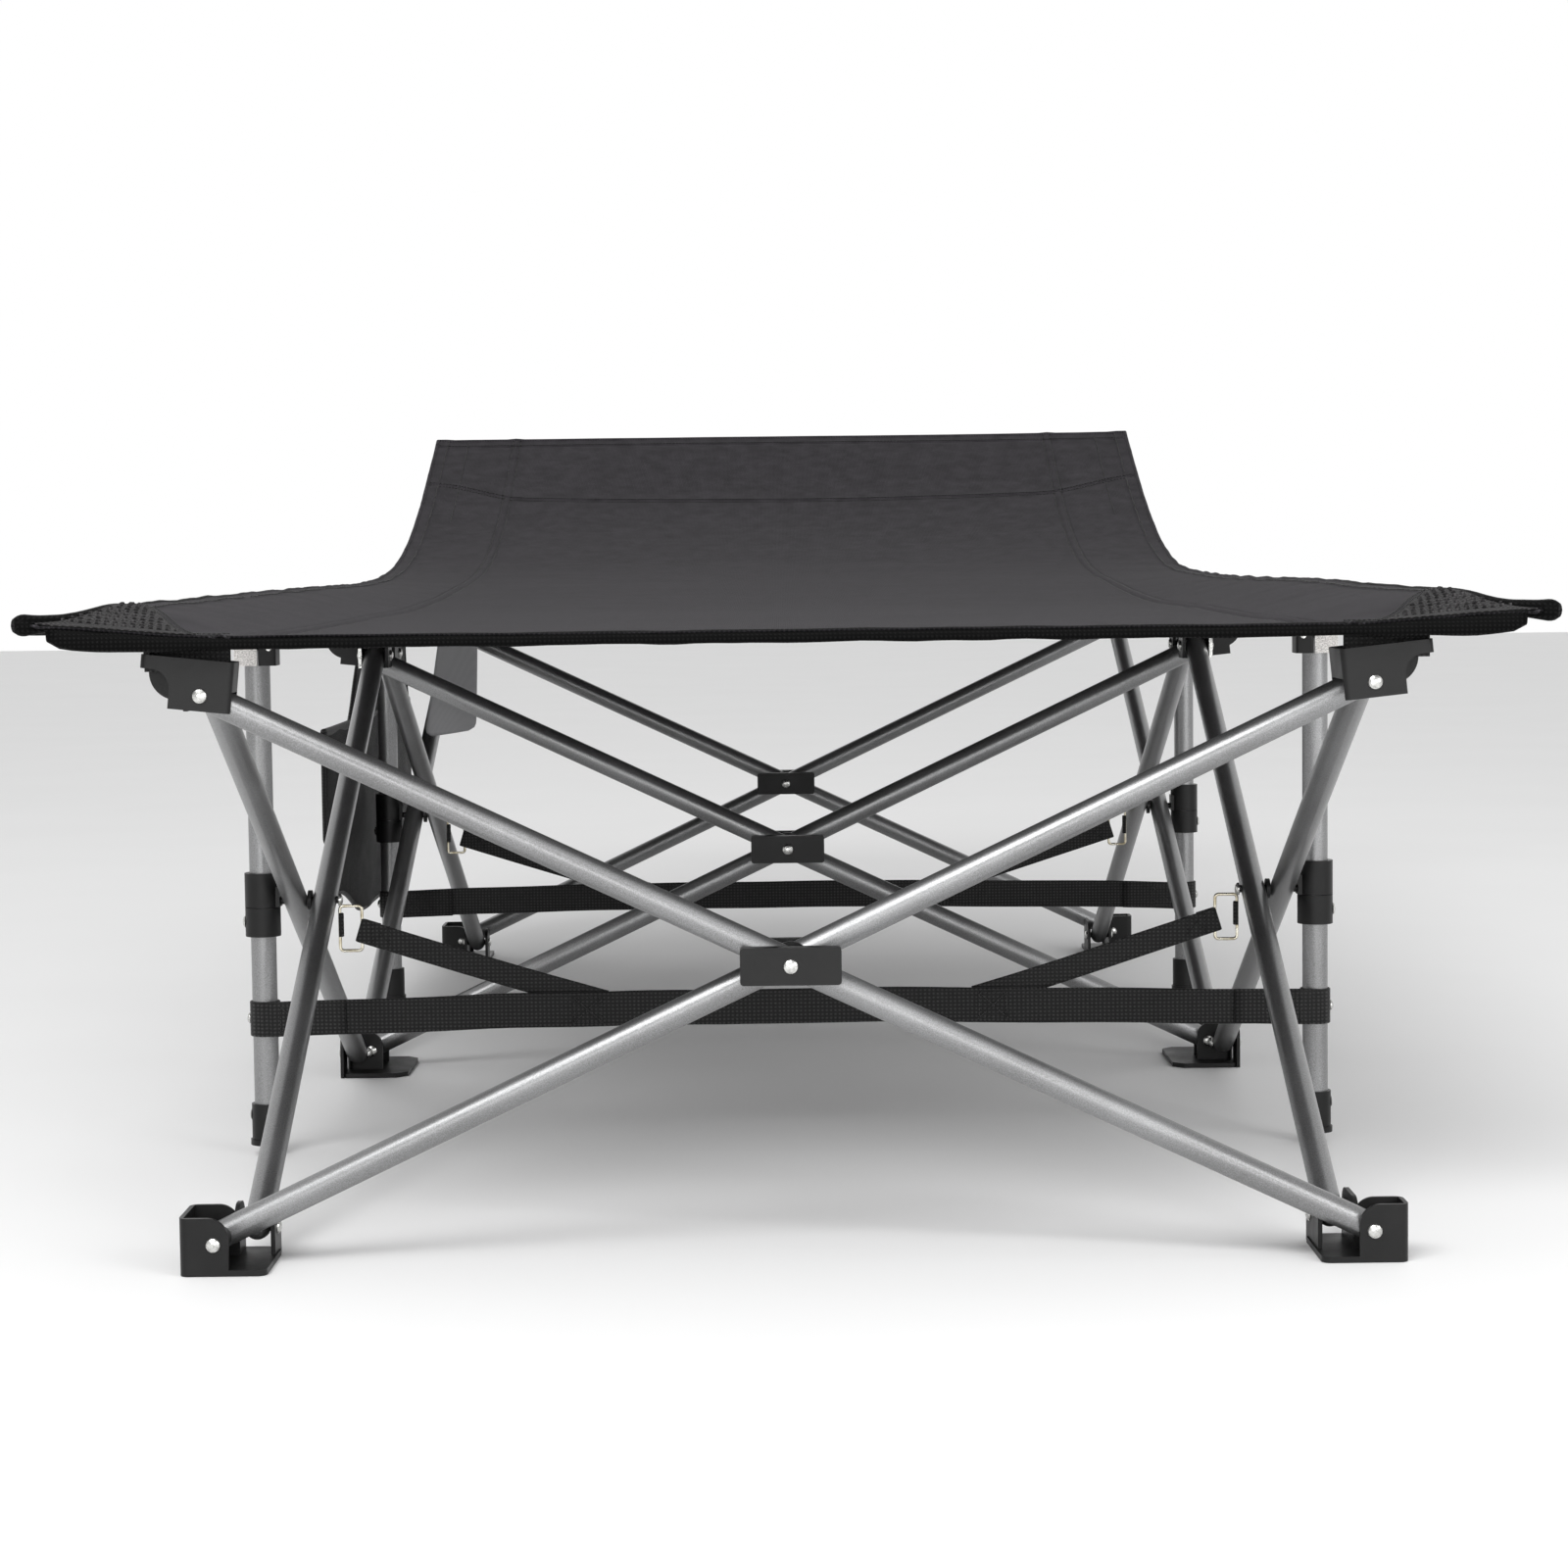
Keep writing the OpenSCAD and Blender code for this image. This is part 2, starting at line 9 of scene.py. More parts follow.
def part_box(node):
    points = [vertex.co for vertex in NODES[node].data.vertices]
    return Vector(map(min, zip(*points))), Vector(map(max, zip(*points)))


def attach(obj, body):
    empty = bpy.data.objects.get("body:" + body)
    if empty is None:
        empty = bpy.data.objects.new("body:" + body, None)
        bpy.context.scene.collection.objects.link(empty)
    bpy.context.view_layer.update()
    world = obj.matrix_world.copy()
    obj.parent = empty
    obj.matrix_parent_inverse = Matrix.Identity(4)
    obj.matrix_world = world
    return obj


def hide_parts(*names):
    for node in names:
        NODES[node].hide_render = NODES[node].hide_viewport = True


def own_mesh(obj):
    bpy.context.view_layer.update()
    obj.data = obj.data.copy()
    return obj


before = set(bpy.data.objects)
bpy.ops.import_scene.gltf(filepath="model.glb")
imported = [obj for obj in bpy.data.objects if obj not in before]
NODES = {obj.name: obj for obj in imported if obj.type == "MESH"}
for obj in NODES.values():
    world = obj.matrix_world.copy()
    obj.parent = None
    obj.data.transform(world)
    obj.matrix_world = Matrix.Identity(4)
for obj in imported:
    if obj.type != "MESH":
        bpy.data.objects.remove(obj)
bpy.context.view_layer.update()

# ---- places, in metres, as in the CAD model ----
HALF_SPAN = 0.386
LOW_Z = 0.021
HIGH_Z = 0.386
MID_Z = 0.2035
ROW_Y = (-1.022, -0.178, 0.666)
POST_Y = (-0.600, 0.244)
POST_X = 0.4195
SIDE_PIVOT = 0.036
CROSS_IN = 0.370
FRONT = -1.064
BACK = 1.064
EDGE_Z = 0.446
RISE_Y = 0.660
RISE_SOFT = 0.110
HEAD_SLOPE = (0.622 - EDGE_Z) / (RISE_SOFT * math.log1p(math.exp((BACK - RISE_Y) / RISE_SOFT)))
CLOTH_T = 0.0016
CROSS_SEAM = 0.885
STRAP_Z = (0.097, 0.125)
STRAP_MID_Z = (STRAP_Z[0] + STRAP_Z[1]) / 2 - 0.0015
STRAP_SAG = 0.0062
LOOP_R = 0.0112
# seams and hems of the bed, all measured across it
SEAM_EDGE = 0.0075
SEAM_GROOVE = 0.0048
HEM_WIDTH = 0.0155
BACK_HEM = 0.020


# ---- camera: tilted down a little, near the cot's foot end ----
def make_camera():
    data = bpy.data.cameras.new("camera")
    data.sensor_width = 36.0
    data.lens = 3322.5 / 1600 * 36.0
    data.shift_y = -7.4 / 1600
    cam = bpy.data.objects.new("camera", data)
    bpy.context.scene.collection.objects.link(cam)
    turn = Matrix.Rotation(-0.0004, 4, "Z") @ Matrix.Rotation(math.pi / 2 - 0.0692, 4, "X")
    roll = Matrix.Rotation(-0.0122, 4, "Z")
    cam.matrix_world = Matrix.Translation((-0.0038, -3.1834, 0.4765)) @ turn @ roll
    bpy.context.scene.camera = cam


make_camera()


# ---- materials ----
class Mat:
    """A node material with short calls for the nodes that repeat."""

    def __init__(self, name, color, rough, metal=0.0, **sockets):
        self.mat = bpy.data.materials.new(name)
        self.mat.use_nodes = True
        self.tree = self.mat.node_tree
        self.bsdf = self.tree.nodes["Principled BSDF"]
        self.bsdf.inputs["Base Color"].default_value = (*color, 1)
        self.bsdf.inputs["Roughness"].default_value = rough
        self.bsdf.inputs["Metallic"].default_value = metal
        for key, value in sockets.items():
            self.bsdf.inputs[key.replace("_", " ")].default_value = value
        self.coord = self.tree.nodes.new("ShaderNodeTexCoord").outputs["Object"]

    def link(self, a, b):
        self.tree.links.new(a, b)

    def node(self, kind, **props):
        n = self.tree.nodes.new(kind)
        for key, value in props.items():
            setattr(n, key, value)
        return n

    def mapped(self, turn=(0, 0, 0)):
        n = self.node("ShaderNodeMapping")
        n.inputs["Rotation"].default_value = turn
        self.link(self.coord, n.inputs["Vector"])
        return n.outputs["Vector"]

    def noise(self, scale, detail=2.0, rough=0.5):
        n = self.node("ShaderNodeTexNoise")
        n.inputs["Scale"].default_value = scale
        n.inputs["Detail"].default_value = detail
        n.inputs["Roughness"].default_value = rough
        self.link(self.coord, n.inputs["Vector"])
        return n.outputs["Fac"]

    def wave(self, period, vector, direction="X"):
        n = self.node("ShaderNodeTexWave", wave_type="BANDS", bands_direction=direction)
        n.inputs["Scale"].default_value = 2 * math.pi / (20 * period)
        self.link(vector, n.inputs["Vector"])
        return n.outputs["Fac"]

    def math(self, op, a, b):
        n = self.node("ShaderNodeMath", operation=op)
        for socket, value in zip(n.inputs, (a, b)):
            if isinstance(value, (int, float)):
                socket.default_value = value
            else:
                self.link(value, socket)
        return n.outputs[0]

    def ramp(self, fac, low, high, at=(0.0, 1.0)):
        """Maps a factor to a colour between two colours, or to a value between two numbers."""
        if isinstance(low, (int, float)):
            n = self.node("ShaderNodeMapRange")
            n.inputs["From Min"].default_value, n.inputs["From Max"].default_value = at
            n.inputs["To Min"].default_value, n.inputs["To Max"].default_value = low, high
            self.link(fac, n.inputs["Value"])
            return n.outputs["Result"]
        n = self.node("ShaderNodeValToRGB")
        for element, place, color in zip(n.color_ramp.elements, at, (low, high)):
            element.position = place
            element.color = (*color, 1)
        self.link(fac, n.inputs["Fac"])
        return n.outputs["Color"]

    def color(self, socket):
        self.link(socket, self.bsdf.inputs["Base Color"])

    def rough(self, socket):
        self.link(socket, self.bsdf.inputs["Roughness"])

    def bump(self, height, distance, strength=1.0):
        n = self.node("ShaderNodeBump")
        n.inputs["Distance"].default_value = distance
        n.inputs["Strength"].default_value = strength
        self.link(height, n.inputs["Height"])
        self.link(n.outputs["Normal"], self.bsdf.inputs["Normal"])


def painted_steel(name, tint):
    m = Mat(name, (tint, tint, tint), 0.36, 0.85)
    fleck = m.noise(1400, 2, 0.6)
    cloud = m.noise(9, 3)
    both = m.math("ADD", m.math("MULTIPLY", fleck, 0.7), m.math("MULTIPLY", cloud, 0.3))
    m.color(m.ramp(both, (tint * 0.72,) * 3, (tint * 1.3, tint * 1.31, tint * 1.33), (0.36, 0.66)))
    m.rough(m.ramp(cloud, 0.30, 0.42, (0.3, 0.7)))
    m.bump(fleck, 0.00012, 0.5)
    return m.mat


def moulded(name, tint=0.0045):
    m = Mat(name, (tint, tint, tint), 0.42, Specular_IOR_Level=0.30)
    grain = m.noise(1100, 3, 0.6)
    wear = m.noise(26, 4, 0.65)
    m.color(m.ramp(wear, (tint, tint, tint * 1.02), (tint * 2.1, tint * 2.05, tint * 2.0), (0.45, 0.85)))
    m.rough(m.ramp(wear, 0.34, 0.52, (0.3, 0.75)))
    m.bump(grain, 0.00010, 0.5)
    return m.mat


def zinc(name):
    m = Mat(name, (0.60, 0.60, 0.58), 0.25, 1.0)
    stain = m.noise(420, 3, 0.6)
    m.color(m.ramp(stain, (0.38, 0.38, 0.37), (0.70, 0.70, 0.68), (0.3, 0.6)))
    m.rough(m.ramp(stain, 0.34, 0.18, (0.3, 0.7)))
    m.bump(stain, 0.00008, 0.4)
    return m.mat


def bare_metal(name):
    m = Mat(name, (0.62, 0.60, 0.58), 0.5, 0.7)
    speck = m.noise(900, 4, 0.7)
    m.color(m.ramp(speck, (0.30, 0.29, 0.28), (0.72, 0.70, 0.68), (0.35, 0.6)))
    m.rough(m.ramp(speck, 0.62, 0.4, (0.3, 0.7)))
    m.bump(speck, 0.0002, 0.6)
    return m.mat


def woven(name, dark, light, period, turn=45.0, rough=0.82, depth=0.00025, sheen=0.25):
    """Cloth with a weave of that period, mottled a little on a larger scale."""
    m = Mat(name, light, rough, Sheen_Weight=sheen, Sheen_Roughness=0.5, Specular_IOR_Level=0.08)
    grid = m.mapped(turn=(0, 0, math.radians(turn)))
    weave = m.math("MULTIPLY", m.wave(period, grid, "X"), m.wave(period, grid, "Y"))
    mottle = m.noise(55, 5, 0.6)
    fuzz = m.noise(2400, 2, 0.7)
    height = m.math("ADD", weave, m.math("MULTIPLY", fuzz, 0.5))
    shade = m.math("ADD", m.math("MULTIPLY", weave, 0.55), m.math("MULTIPLY", mottle, 0.55))
    shade = m.math("ADD", shade, m.math("MULTIPLY", fuzz, 0.25))
    m.color(m.ramp(shade, dark, light, (0.25, 0.95)))
    m.rough(m.ramp(mottle, rough - 0.06, rough + 0.06, (0.3, 0.7)))
    m.bump(height, depth, 0.7)
    return m.mat


def webbing(name, period=0.0034, dark=0.0005, light=0.034, shine=0.25, sheen=0.10):
    """Basket weave webbing: rows of raised floats, painted lighter on their tops as a painted highlight and
    darker between them as painted shade.
    """
    m = Mat(name, (light,) * 3, 0.55, Sheen_Weight=sheen, Specular_IOR_Level=shine)
    flat = m.mapped()
    a = m.wave(period, flat, "X")
    b = m.wave(period * 0.9, flat, "Z")
    weave = m.math("MULTIPLY", a, b)
    fuzz = m.noise(1900, 2, 0.7)
    shade = m.math("ADD", m.math("MULTIPLY", weave, 0.8), m.math("MULTIPLY", fuzz, 0.3))
    # painted highlight and shade: the ramp makes the weave's raised tops light and the hollows between them
    # dark
    m.color(m.ramp(shade, (dark,) * 3, (light,) * 3, (0.25, 1.0)))
    m.bump(m.math("ADD", weave, m.math("MULTIPLY", fuzz, 0.3)), 0.0005, 0.9)
    m.rough(m.ramp(fuzz, 0.45, 0.65, (0.3, 0.7)))
    return m.mat


def wire_metal(name):
    m = Mat(name, (0.72, 0.66, 0.50), 0.28, 1.0)
    stain = m.noise(160, 3)
    m.color(m.ramp(stain, (0.52, 0.45, 0.30), (0.82, 0.79, 0.68), (0.35, 0.65)))
    m.rough(m.ramp(stain, 0.38, 0.22, (0.3, 0.7)))
    m.bump(stain, 0.0001, 0.3)
    return m.mat


STEEL = painted_steel("frame_steel", 0.27)
POST_STEEL = painted_steel("post_steel", 0.28)
PLASTIC = moulded("moulded_plastic")
ZINC = zinc("zinc_bolt")
BARE = bare_metal("bare_metal")
CLOTH = woven("bed_fabric", (0.004, 0.0037, 0.0043), (0.066, 0.061, 0.069), 0.0023, depth=0.0004, sheen=0.03)
CORNER = woven("corner_mesh", (0.002, 0.002, 0.002), (0.075, 0.072, 0.074), 0.0036, depth=0.0010, sheen=0.05)
POCKET = woven("pocket_mesh", (0.002, 0.002, 0.002), (0.026, 0.026, 0.027), 0.0030, 0.0, 0.6, 0.0008, 0.05)
BAND = webbing("webbing_band", period=0.0030, dark=0.0008, light=0.007, shine=0.06, sheen=0.0)
WEB = webbing("webbing")
THREAD = woven("thread", (0.001, 0.001, 0.001), (0.006, 0.006, 0.006), 0.0008, 0.0)
TAG = woven("tag_tape", (0.36, 0.36, 0.37), (0.41, 0.41, 0.42), 0.0010, 0.0, 0.6, 0.00008)
WIRE = wire_metal("ring_wire")


# ---- mesh helpers ----
def add_object(name, verts, faces, material, smooth=True):
    mesh = bpy.data.meshes.new(name)
    mesh.from_pydata([tuple(v) for v in verts], [], faces)
    mesh.materials.append(material)
    if smooth:
        mesh.polygons.foreach_set("use_smooth", [True] * len(mesh.polygons))
    mesh.update()
    obj = bpy.data.objects.new(name, mesh)
    bpy.context.scene.collection.objects.link(obj)
    return obj


def shell(name, top, thick, material, custom=None):
    """A closed cloth from a grid of points: the top as given, the underside below it."""
    rows, cols = top.shape[:2]
    du = np.gradient(top, axis=0)
    dv = np.gradient(top, axis=1)
    normal = np.cross(dv, du) if custom is None else custom
    normal = normal / np.linalg.norm(normal, axis=2, keepdims=True)
    if normal[..., 2].mean() < 0 and custom is None:
        normal = -normal
    low = top - normal * thick
    verts = np.concatenate([top.reshape(-1, 3), low.reshape(-1, 3)])
    n = rows * cols
    faces = []
    for r in range(rows - 1):
        for c in range(cols - 1):
            a = r * cols + c
            quad = (a, a + 1, a + cols + 1, a + cols)
            faces.append(quad)
            faces.append(tuple(n + k for k in reversed(quad)))
    rim = [c for c in range(cols)]
    rim += [r * cols + cols - 1 for r in range(1, rows)]
    rim += [(rows - 1) * cols + c for c in range(cols - 2, -1, -1)]
    rim += [r * cols for r in range(rows - 2, 0, -1)]
    for a, b in zip(rim, rim[1:] + rim[:1]):
        faces.append((b, a, n + a, n + b))
    obj = add_object(name, verts, faces, material)
    if custom is not None:
        both = np.concatenate([normal.reshape(-1, 3), -normal.reshape(-1, 3)])
        obj.data.normals_split_custom_set_from_vertices([tuple(v) for v in both])
    return obj


def frames_along(path, up=None):
    """A side and an up direction at each point of a path, turned as little as can be."""
    path = np.asarray(path, float)
    tangent = np.gradient(path, axis=0)
    tangent /= np.linalg.norm(tangent, axis=1, keepdims=True)
    if up is None:
        up = np.array([0, 0, 1.0]) if abs(tangent[0][2]) < 0.9 else np.array([1.0, 0, 0])
    ups, sides = [], []
    u = np.array(up, float)
    for t in tangent:
        u = u - t * np.dot(u, t)
        u /= np.linalg.norm(u)
        ups.append(u)
        sides.append(np.cross(t, u))
    return path, np.array(sides), np.array(ups)


def sweep(name, path, section, material, up=None, closed=False, scale=None):
    """A section, as points (side, up), swept along a path, with closed ends."""
    path, sides, ups = frames_along(path, up)
    n, m = len(path), len(section)
    verts = []
    for i in range(n):
        k = 1.0 if scale is None else scale[i]
        for s, u in section:
            verts.append(path[i] + sides[i] * s * k + ups[i] * u * k)
    faces = []
    for i in range(n if closed else n - 1):
        a, b = i * m, ((i + 1) % n) * m
        for j in range(m):
            faces.append((a + j, a + (j + 1) % m, b + (j + 1) % m, b + j))
    if not closed:
        faces.append(tuple(reversed(range(m))))
        faces.append(tuple((n - 1) * m + j for j in range(m)))
    return add_object(name, verts, faces, material)


def ring_section(r, n=10, flat=1.0):
    return [(r * math.cos(2 * math.pi * k / n), r * flat * math.sin(2 * math.pi * k / n)) for k in range(n)]


def strap_section(width, thick):
    """Webbing section with full round edges."""
    w, t = width / 2, thick / 2
    half = [(-w, 0), (-w + t * 0.4, t * 0.75), (-w + t, t)]
    half += [(x * (w - t), t) for x in (-0.6, -0.2, 0.2, 0.6)]
    half += [(w - t, t), (w - t * 0.4, t * 0.75), (w, 0)]
    return half + [(x, -z) for x, z in reversed(half[1:-1])]


def smooth_step(a, b, x):
    t = np.clip((np.asarray(x, float) - a) / (b - a), 0, 1)
    return t * t * (3 - 2 * t)


def join(objects, name):
    bpy.ops.object.select_all(action="DESELECT")
    for o in objects:
        o.select_set(True)
    bpy.context.view_layer.objects.active = objects[0]
    if len(objects) > 1:
        bpy.ops.object.join()
    objects[0].name = name
    objects[0].data.name = name
    return objects[0]


# ---- the bed's surface: one function, cut at the places where the strips meet ----
def outline(y):
    """Half width to the outside of the rolled edge, with pointed corners at the foot end."""
    d = FRONT - np.asarray(y, float)
    return 0.4425 + 0.026 * np.exp(d / 0.17) + 0.0445 * np.exp(d / 0.03) + 0.0055 * smooth_step(0.0, 0.5, y)


def roll_radius(y):
    """Radius of the rolled edge, thick at the corner tips."""
    return 0.0023 + 0.0062 * np.exp((FRONT - np.asarray(y, float)) / 0.035)


def half_width(y):
    return outline(y) - roll_radius(y)


def edge_z(y):
    y = np.asarray(y, float)
    rise = HEAD_SLOPE * RISE_SOFT * np.log1p(np.exp((y - RISE_Y) / RISE_SOFT))
    return EDGE_Z + rise - 0.003 * (1 - smooth_step(FRONT, -0.5, y))


def seam_x(y):
    return 0.343 + 0.026 * np.exp((FRONT - np.asarray(y, float)) / 0.16)


def bed_z(x, y):
    """Height of the cloth's top before seams: dished between the edges, flat across at the head."""
    w = half_width(y)
    a = np.abs(x)
    dish = 0.0225 * (1 - smooth_step(-0.30, 0.55, y))
    sag = 1 - smooth_step(0.72, 1.0, a / w)
    z = edge_z(y) - dish * sag
    # the front edge is drawn straight by its band
    front = 1 - smooth_step(FRONT, FRONT + 0.09, y)
    z_front = 0.4255 + 0.0075 * smooth_step(0.36, 0.50, a)
    z = z * (1 - front) + z_front * front
    # the raised head sags a little between its sides
    return z - 0.010 * smooth_step(0.62, 0.88, y) * (1 - smooth_step(0.90, 1.06, y)) * (1 - (a / w) ** 2)


def cross_seam(x):
    return CROSS_SEAM + 0.040 * float(smooth_step(0.32, 0.44, abs(x)))


def wrinkle(x, y):
    """Small waves: long ones across the bed, short ones along its edges."""
    w = half_width(y)
    near = smooth_step(0.72, 1.0, abs(x) / w)
    a = noise.noise(Vector((x * 3.1, y * 5.3, 0.7)))
    b = noise.noise(Vector((x * 9.0, y * 17.0, 4.1)))
    c = noise.noise(Vector((x * 22.0, y * 34.0, 9.3)))
    return 0.0011 * a + 0.00045 * b + near * (0.0011 * b + 0.0006 * c)


def column_places(y):
    """Where the grid's columns lie at one y, from the left edge to the right edge."""
    w = float(half_width(y))
    s = float(seam_x(y))
    steps = (0.0016, 0.0034, SEAM_GROOVE, 0.0060, SEAM_EDGE)
    out = [s - d for d in reversed(steps)] + [s] + [s + d for d in steps]
    inner = list(np.linspace(0, s - SEAM_EDGE, 22))[:-1]
    hem = w - HEM_WIDTH
    outer = list(np.linspace(s + SEAM_EDGE, hem - 0.0022, 11))[1:]
    rim = [hem - 0.0008, hem + 0.0008, hem + 0.0022, w - 0.009, w - 0.005, w - 0.002, w]
    half = inner + out + outer + rim
    return [-v for v in reversed(half[1:])] + half


def seam_relief(x, y):
    """Relief of the inset side seams, the side hems and the crosswise seam."""
    a = abs(x)
    w = float(half_width(y))
    d = a - float(seam_x(y))
    z = 0.0
    if abs(d) < SEAM_EDGE:
        ridge = math.exp(-((d / 0.0026) ** 2)) * 0.0011
        groove = math.exp(-(((abs(d) - SEAM_GROOVE) / 0.0011) ** 2)) * 0.0009
        z += ridge - 1.5 * groove
    h = a - (w - HEM_WIDTH)
    z += 0.0009 * float(smooth_step(-0.0008, 0.0008, h))
    z -= 0.0006 * math.exp(-((h / 0.0012) ** 2))
    if y > 0.7:
        c = y - cross_seam(x)
        z += 0.0013 * float(smooth_step(-0.0015, 0.0015, c)) - 0.0012 * math.exp(-((c / 0.0022) ** 2))
        e = y - (BACK - BACK_HEM)
        z += 0.0008 * float(smooth_step(-0.001, 0.001, e)) - 0.0005 * math.exp(-((e / 0.0016) ** 2))
    return z


CUTS = [FRONT, POST_Y[0], ROW_Y[1], POST_Y[1], ROW_Y[2], BACK]


def row_places():
    ys = set()
    for a, b in zip(CUTS, CUTS[1:]):
        count = max(2, round((b - a) / 0.009))
        ys |= {round(v, 6) for v in np.linspace(a, b, count + 1)}
    for y in np.arange(CROSS_SEAM - 0.006, CROSS_SEAM + 0.046, 0.0016):
        ys.add(round(float(y), 6))
    for d in (-0.004, -0.0025, -0.0015, -0.0007, 0, 0.0007, 0.0015, 0.0025, 0.004):
        ys.add(round(BACK - BACK_HEM + d, 6))
    for d in (0.001, 0.0025, 0.005):
        ys.add(round(FRONT + d, 6))
    return sorted(ys)


def bed_grid():
    ys = row_places()
    grid = []
    for y in ys:
        row = []
        for x in column_places(y):
            z = float(bed_z(x, y)) + wrinkle(x, y) + seam_relief(x, y)
            row.append((x, y, z))
        grid.append(row)
    return np.array(ys), np.array(grid)


BED_YS, BED = bed_grid()
_du = np.gradient(BED, axis=0)
_dv = np.gradient(BED, axis=1)
BED_N = np.cross(_dv, _du)
BED_N /= np.linalg.norm(BED_N, axis=2, keepdims=True)

BED_PIECES = [
    ("bed_cloth_1", "bed_1", "bed_1"),
    ("bed_cloth_2", "bed_2", "bed_2"),
    ("bed_cloth_3", "bed_3", "bed_3"),
    ("bed_cloth_4", "bed_4", "bed_4"),
    ("head_cloth", "bed_head", "head_arm_l"),
]


def fold_flat(obj):
    """Gives the piece its own copy of its mesh."""
    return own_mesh(obj)


def on_bed(x, y, lift=0.0):
    """A point on the cloth's top, with its seams and waves."""
    z = float(bed_z(x, y)) + wrinkle(x, y) + seam_relief(x, y)
    return Vector((x, y, z + lift))


cloth = {}
for (name, node, body), a, b in zip(BED_PIECES, CUTS, CUTS[1:]):
    pick = (BED_YS >= a - 1e-6) & (BED_YS <= b + 1e-6)
    piece = shell(name, BED[pick], CLOTH_T, CLOTH, BED_N[pick])
    cloth[node] = piece


# ---- stitches: short thread capsules laid along a line on the cloth ----
def stitches(name, line, pitch=0.0042, length=0.0034, radius=0.0007, material=None):
    """Thread stitches along a list of points, each a low six-sided bead."""
    pts = [Vector(p) for p in line]
    verts, faces = [], []
    carry = 0.0
    for a, b in zip(pts, pts[1:]):
        seg = (b - a).length
        if seg < 1e-9:
            continue
        t = (b - a) / seg
        side = t.cross(Vector((0, 0, 1)))
        side = side.normalized() if side.length > 1e-6 else Vector((1, 0, 0))
        up = side.cross(t)
        s = carry
        while s < seg:
            c = a + t * s
            base = len(verts)
            for f, k in ((-0.5, 0.35), (-0.28, 1.0), (0.28, 1.0), (0.5, 0.35)):
                for j in range(5):
                    ang = 2 * math.pi * j / 5
                    around = side * math.cos(ang) + up * math.sin(ang)
                    verts.append(c + t * f * length + around * radius * k)
            for i in range(3):
                for j in range(5):
                    p, q = base + i * 5 + j, base + i * 5 + (j + 1) % 5
                    faces.append((p, q, q + 5, p + 5))
            faces.append(tuple(base + j for j in reversed(range(5))))
            faces.append(tuple(base + 15 + j for j in range(5)))
            s += pitch
        carry = s - seg
    return add_object(name, verts, faces, material or THREAD)


def line_on_bed(fx, y0, y1, lift=0.0001, step=0.012):
    count = max(2, int(abs(y1 - y0) / step))
    return [on_bed(fx(y), y, lift) for y in np.linspace(y0, y1, count)]


stitch_of = {}
for (name, node, body), a, b in zip(BED_PIECES, CUTS, CUTS[1:]):
    parts = []
    for s in (-1, 1):
        for d in (-SEAM_GROOVE, SEAM_GROOVE):
            line = line_on_bed(lambda y: s * (float(seam_x(y)) + d), a + 0.004, b - 0.002)
            parts.append(stitches("st", line))
        line = line_on_bed(lambda y: s * (float(half_width(y)) - 0.0140), a + 0.03, b - 0.002)
        parts.append(stitches("st", line))
    if node == "bed_head":
        for s in (-1, 1):
            parts.append(stitches("st", line_on_bed(lambda y: s * 0.405, 0.80, b - 0.004)))
        for d in (-0.004, 0.003):
            w = float(half_width(CROSS_SEAM)) - 0.004
            line = [on_bed(x, cross_seam(x) + d, 0.0001) for x in np.linspace(-w, w, 70)]
            parts.append(stitches("st", line))
        w = float(half_width(BACK)) - 0.004
        parts.append(stitches("st", [on_bed(x, BACK - 0.017, 0.0001) for x in np.linspace(-w, w, 60)]))
    thread = join(parts, "stitching_" + node)
    stitch_of[node] = thread


# ---- rolled side hems: a rounded edge that closes the cloth along both sides ----
def side_roll(s, a, b):
    """Rolled edge along one side; it starts with a round end at the corner tip."""
    first = a == FRONT
    ys = list(np.linspace(a + (0.04 if first else 0), b, max(3, int((b - a) / 0.012))))
    scale = []
    if first:
        ys = list(np.linspace(FRONT + 0.0012, FRONT + 0.04, 26))[:-1] + ys
    for y in ys:
        end = min(1.0, (y - FRONT) / 0.0065) if first else 1.0
        bumps = 1 + 0.10 * noise.noise(Vector((s * 3.0, y * 70, 1.0)))
        scale.append(float(roll_radius(y)) * math.sqrt(1 - (1 - end) ** 2) * bumps)
    path = [on_bed(s * float(half_width(y)), y, -0.0008) for y in ys]
    material = BAND if first else CLOTH
    return sweep("hem", path, ring_section(1.0, 12, 0.95), material, up=(0, 0, 1), scale=scale)


hem_of = {}
for (name, node, body), a, b in zip(BED_PIECES, CUTS, CUTS[1:]):
    parts = []
    for s in (-1, 1):
        parts.append(side_roll(s, a, b))
    if node == "bed_head":
        w = float(half_width(BACK))
        pts = [on_bed(x, BACK - 0.0012, -0.0008) for x in np.linspace(-w, w, 80)]
        parts.append(sweep("hem", pts, ring_section(0.0026, 10), CLOTH))
    hem = join(parts, "hem_" + node)
    hem_of[node] = hem

for name, node, body in BED_PIECES:
    for piece in (cloth[node], stitch_of[node], hem_of[node]):
        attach(piece, body)
        fold_flat(piece)
    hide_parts(node)


# ---- front band and corner patches ----
def band_section(k):
    """Front band's section: (forward, up) from the front edge's top, thicker at the corners by k."""
    h = 0.0086 + 0.0058 * k
    return [(-0.030, -0.0022), (-0.012, -0.0004), (-0.0035, 0.0004), (-0.0006, -0.0008), (0.0007, -0.0022),
            (0.0008, -h * 0.62), (-0.0006, -h * 0.9), (-0.0030, -h), (-0.012, -h * 0.98), (-0.024, -h * 0.92),
            (-0.034, -h * 0.80), (-0.035, -0.0030)]


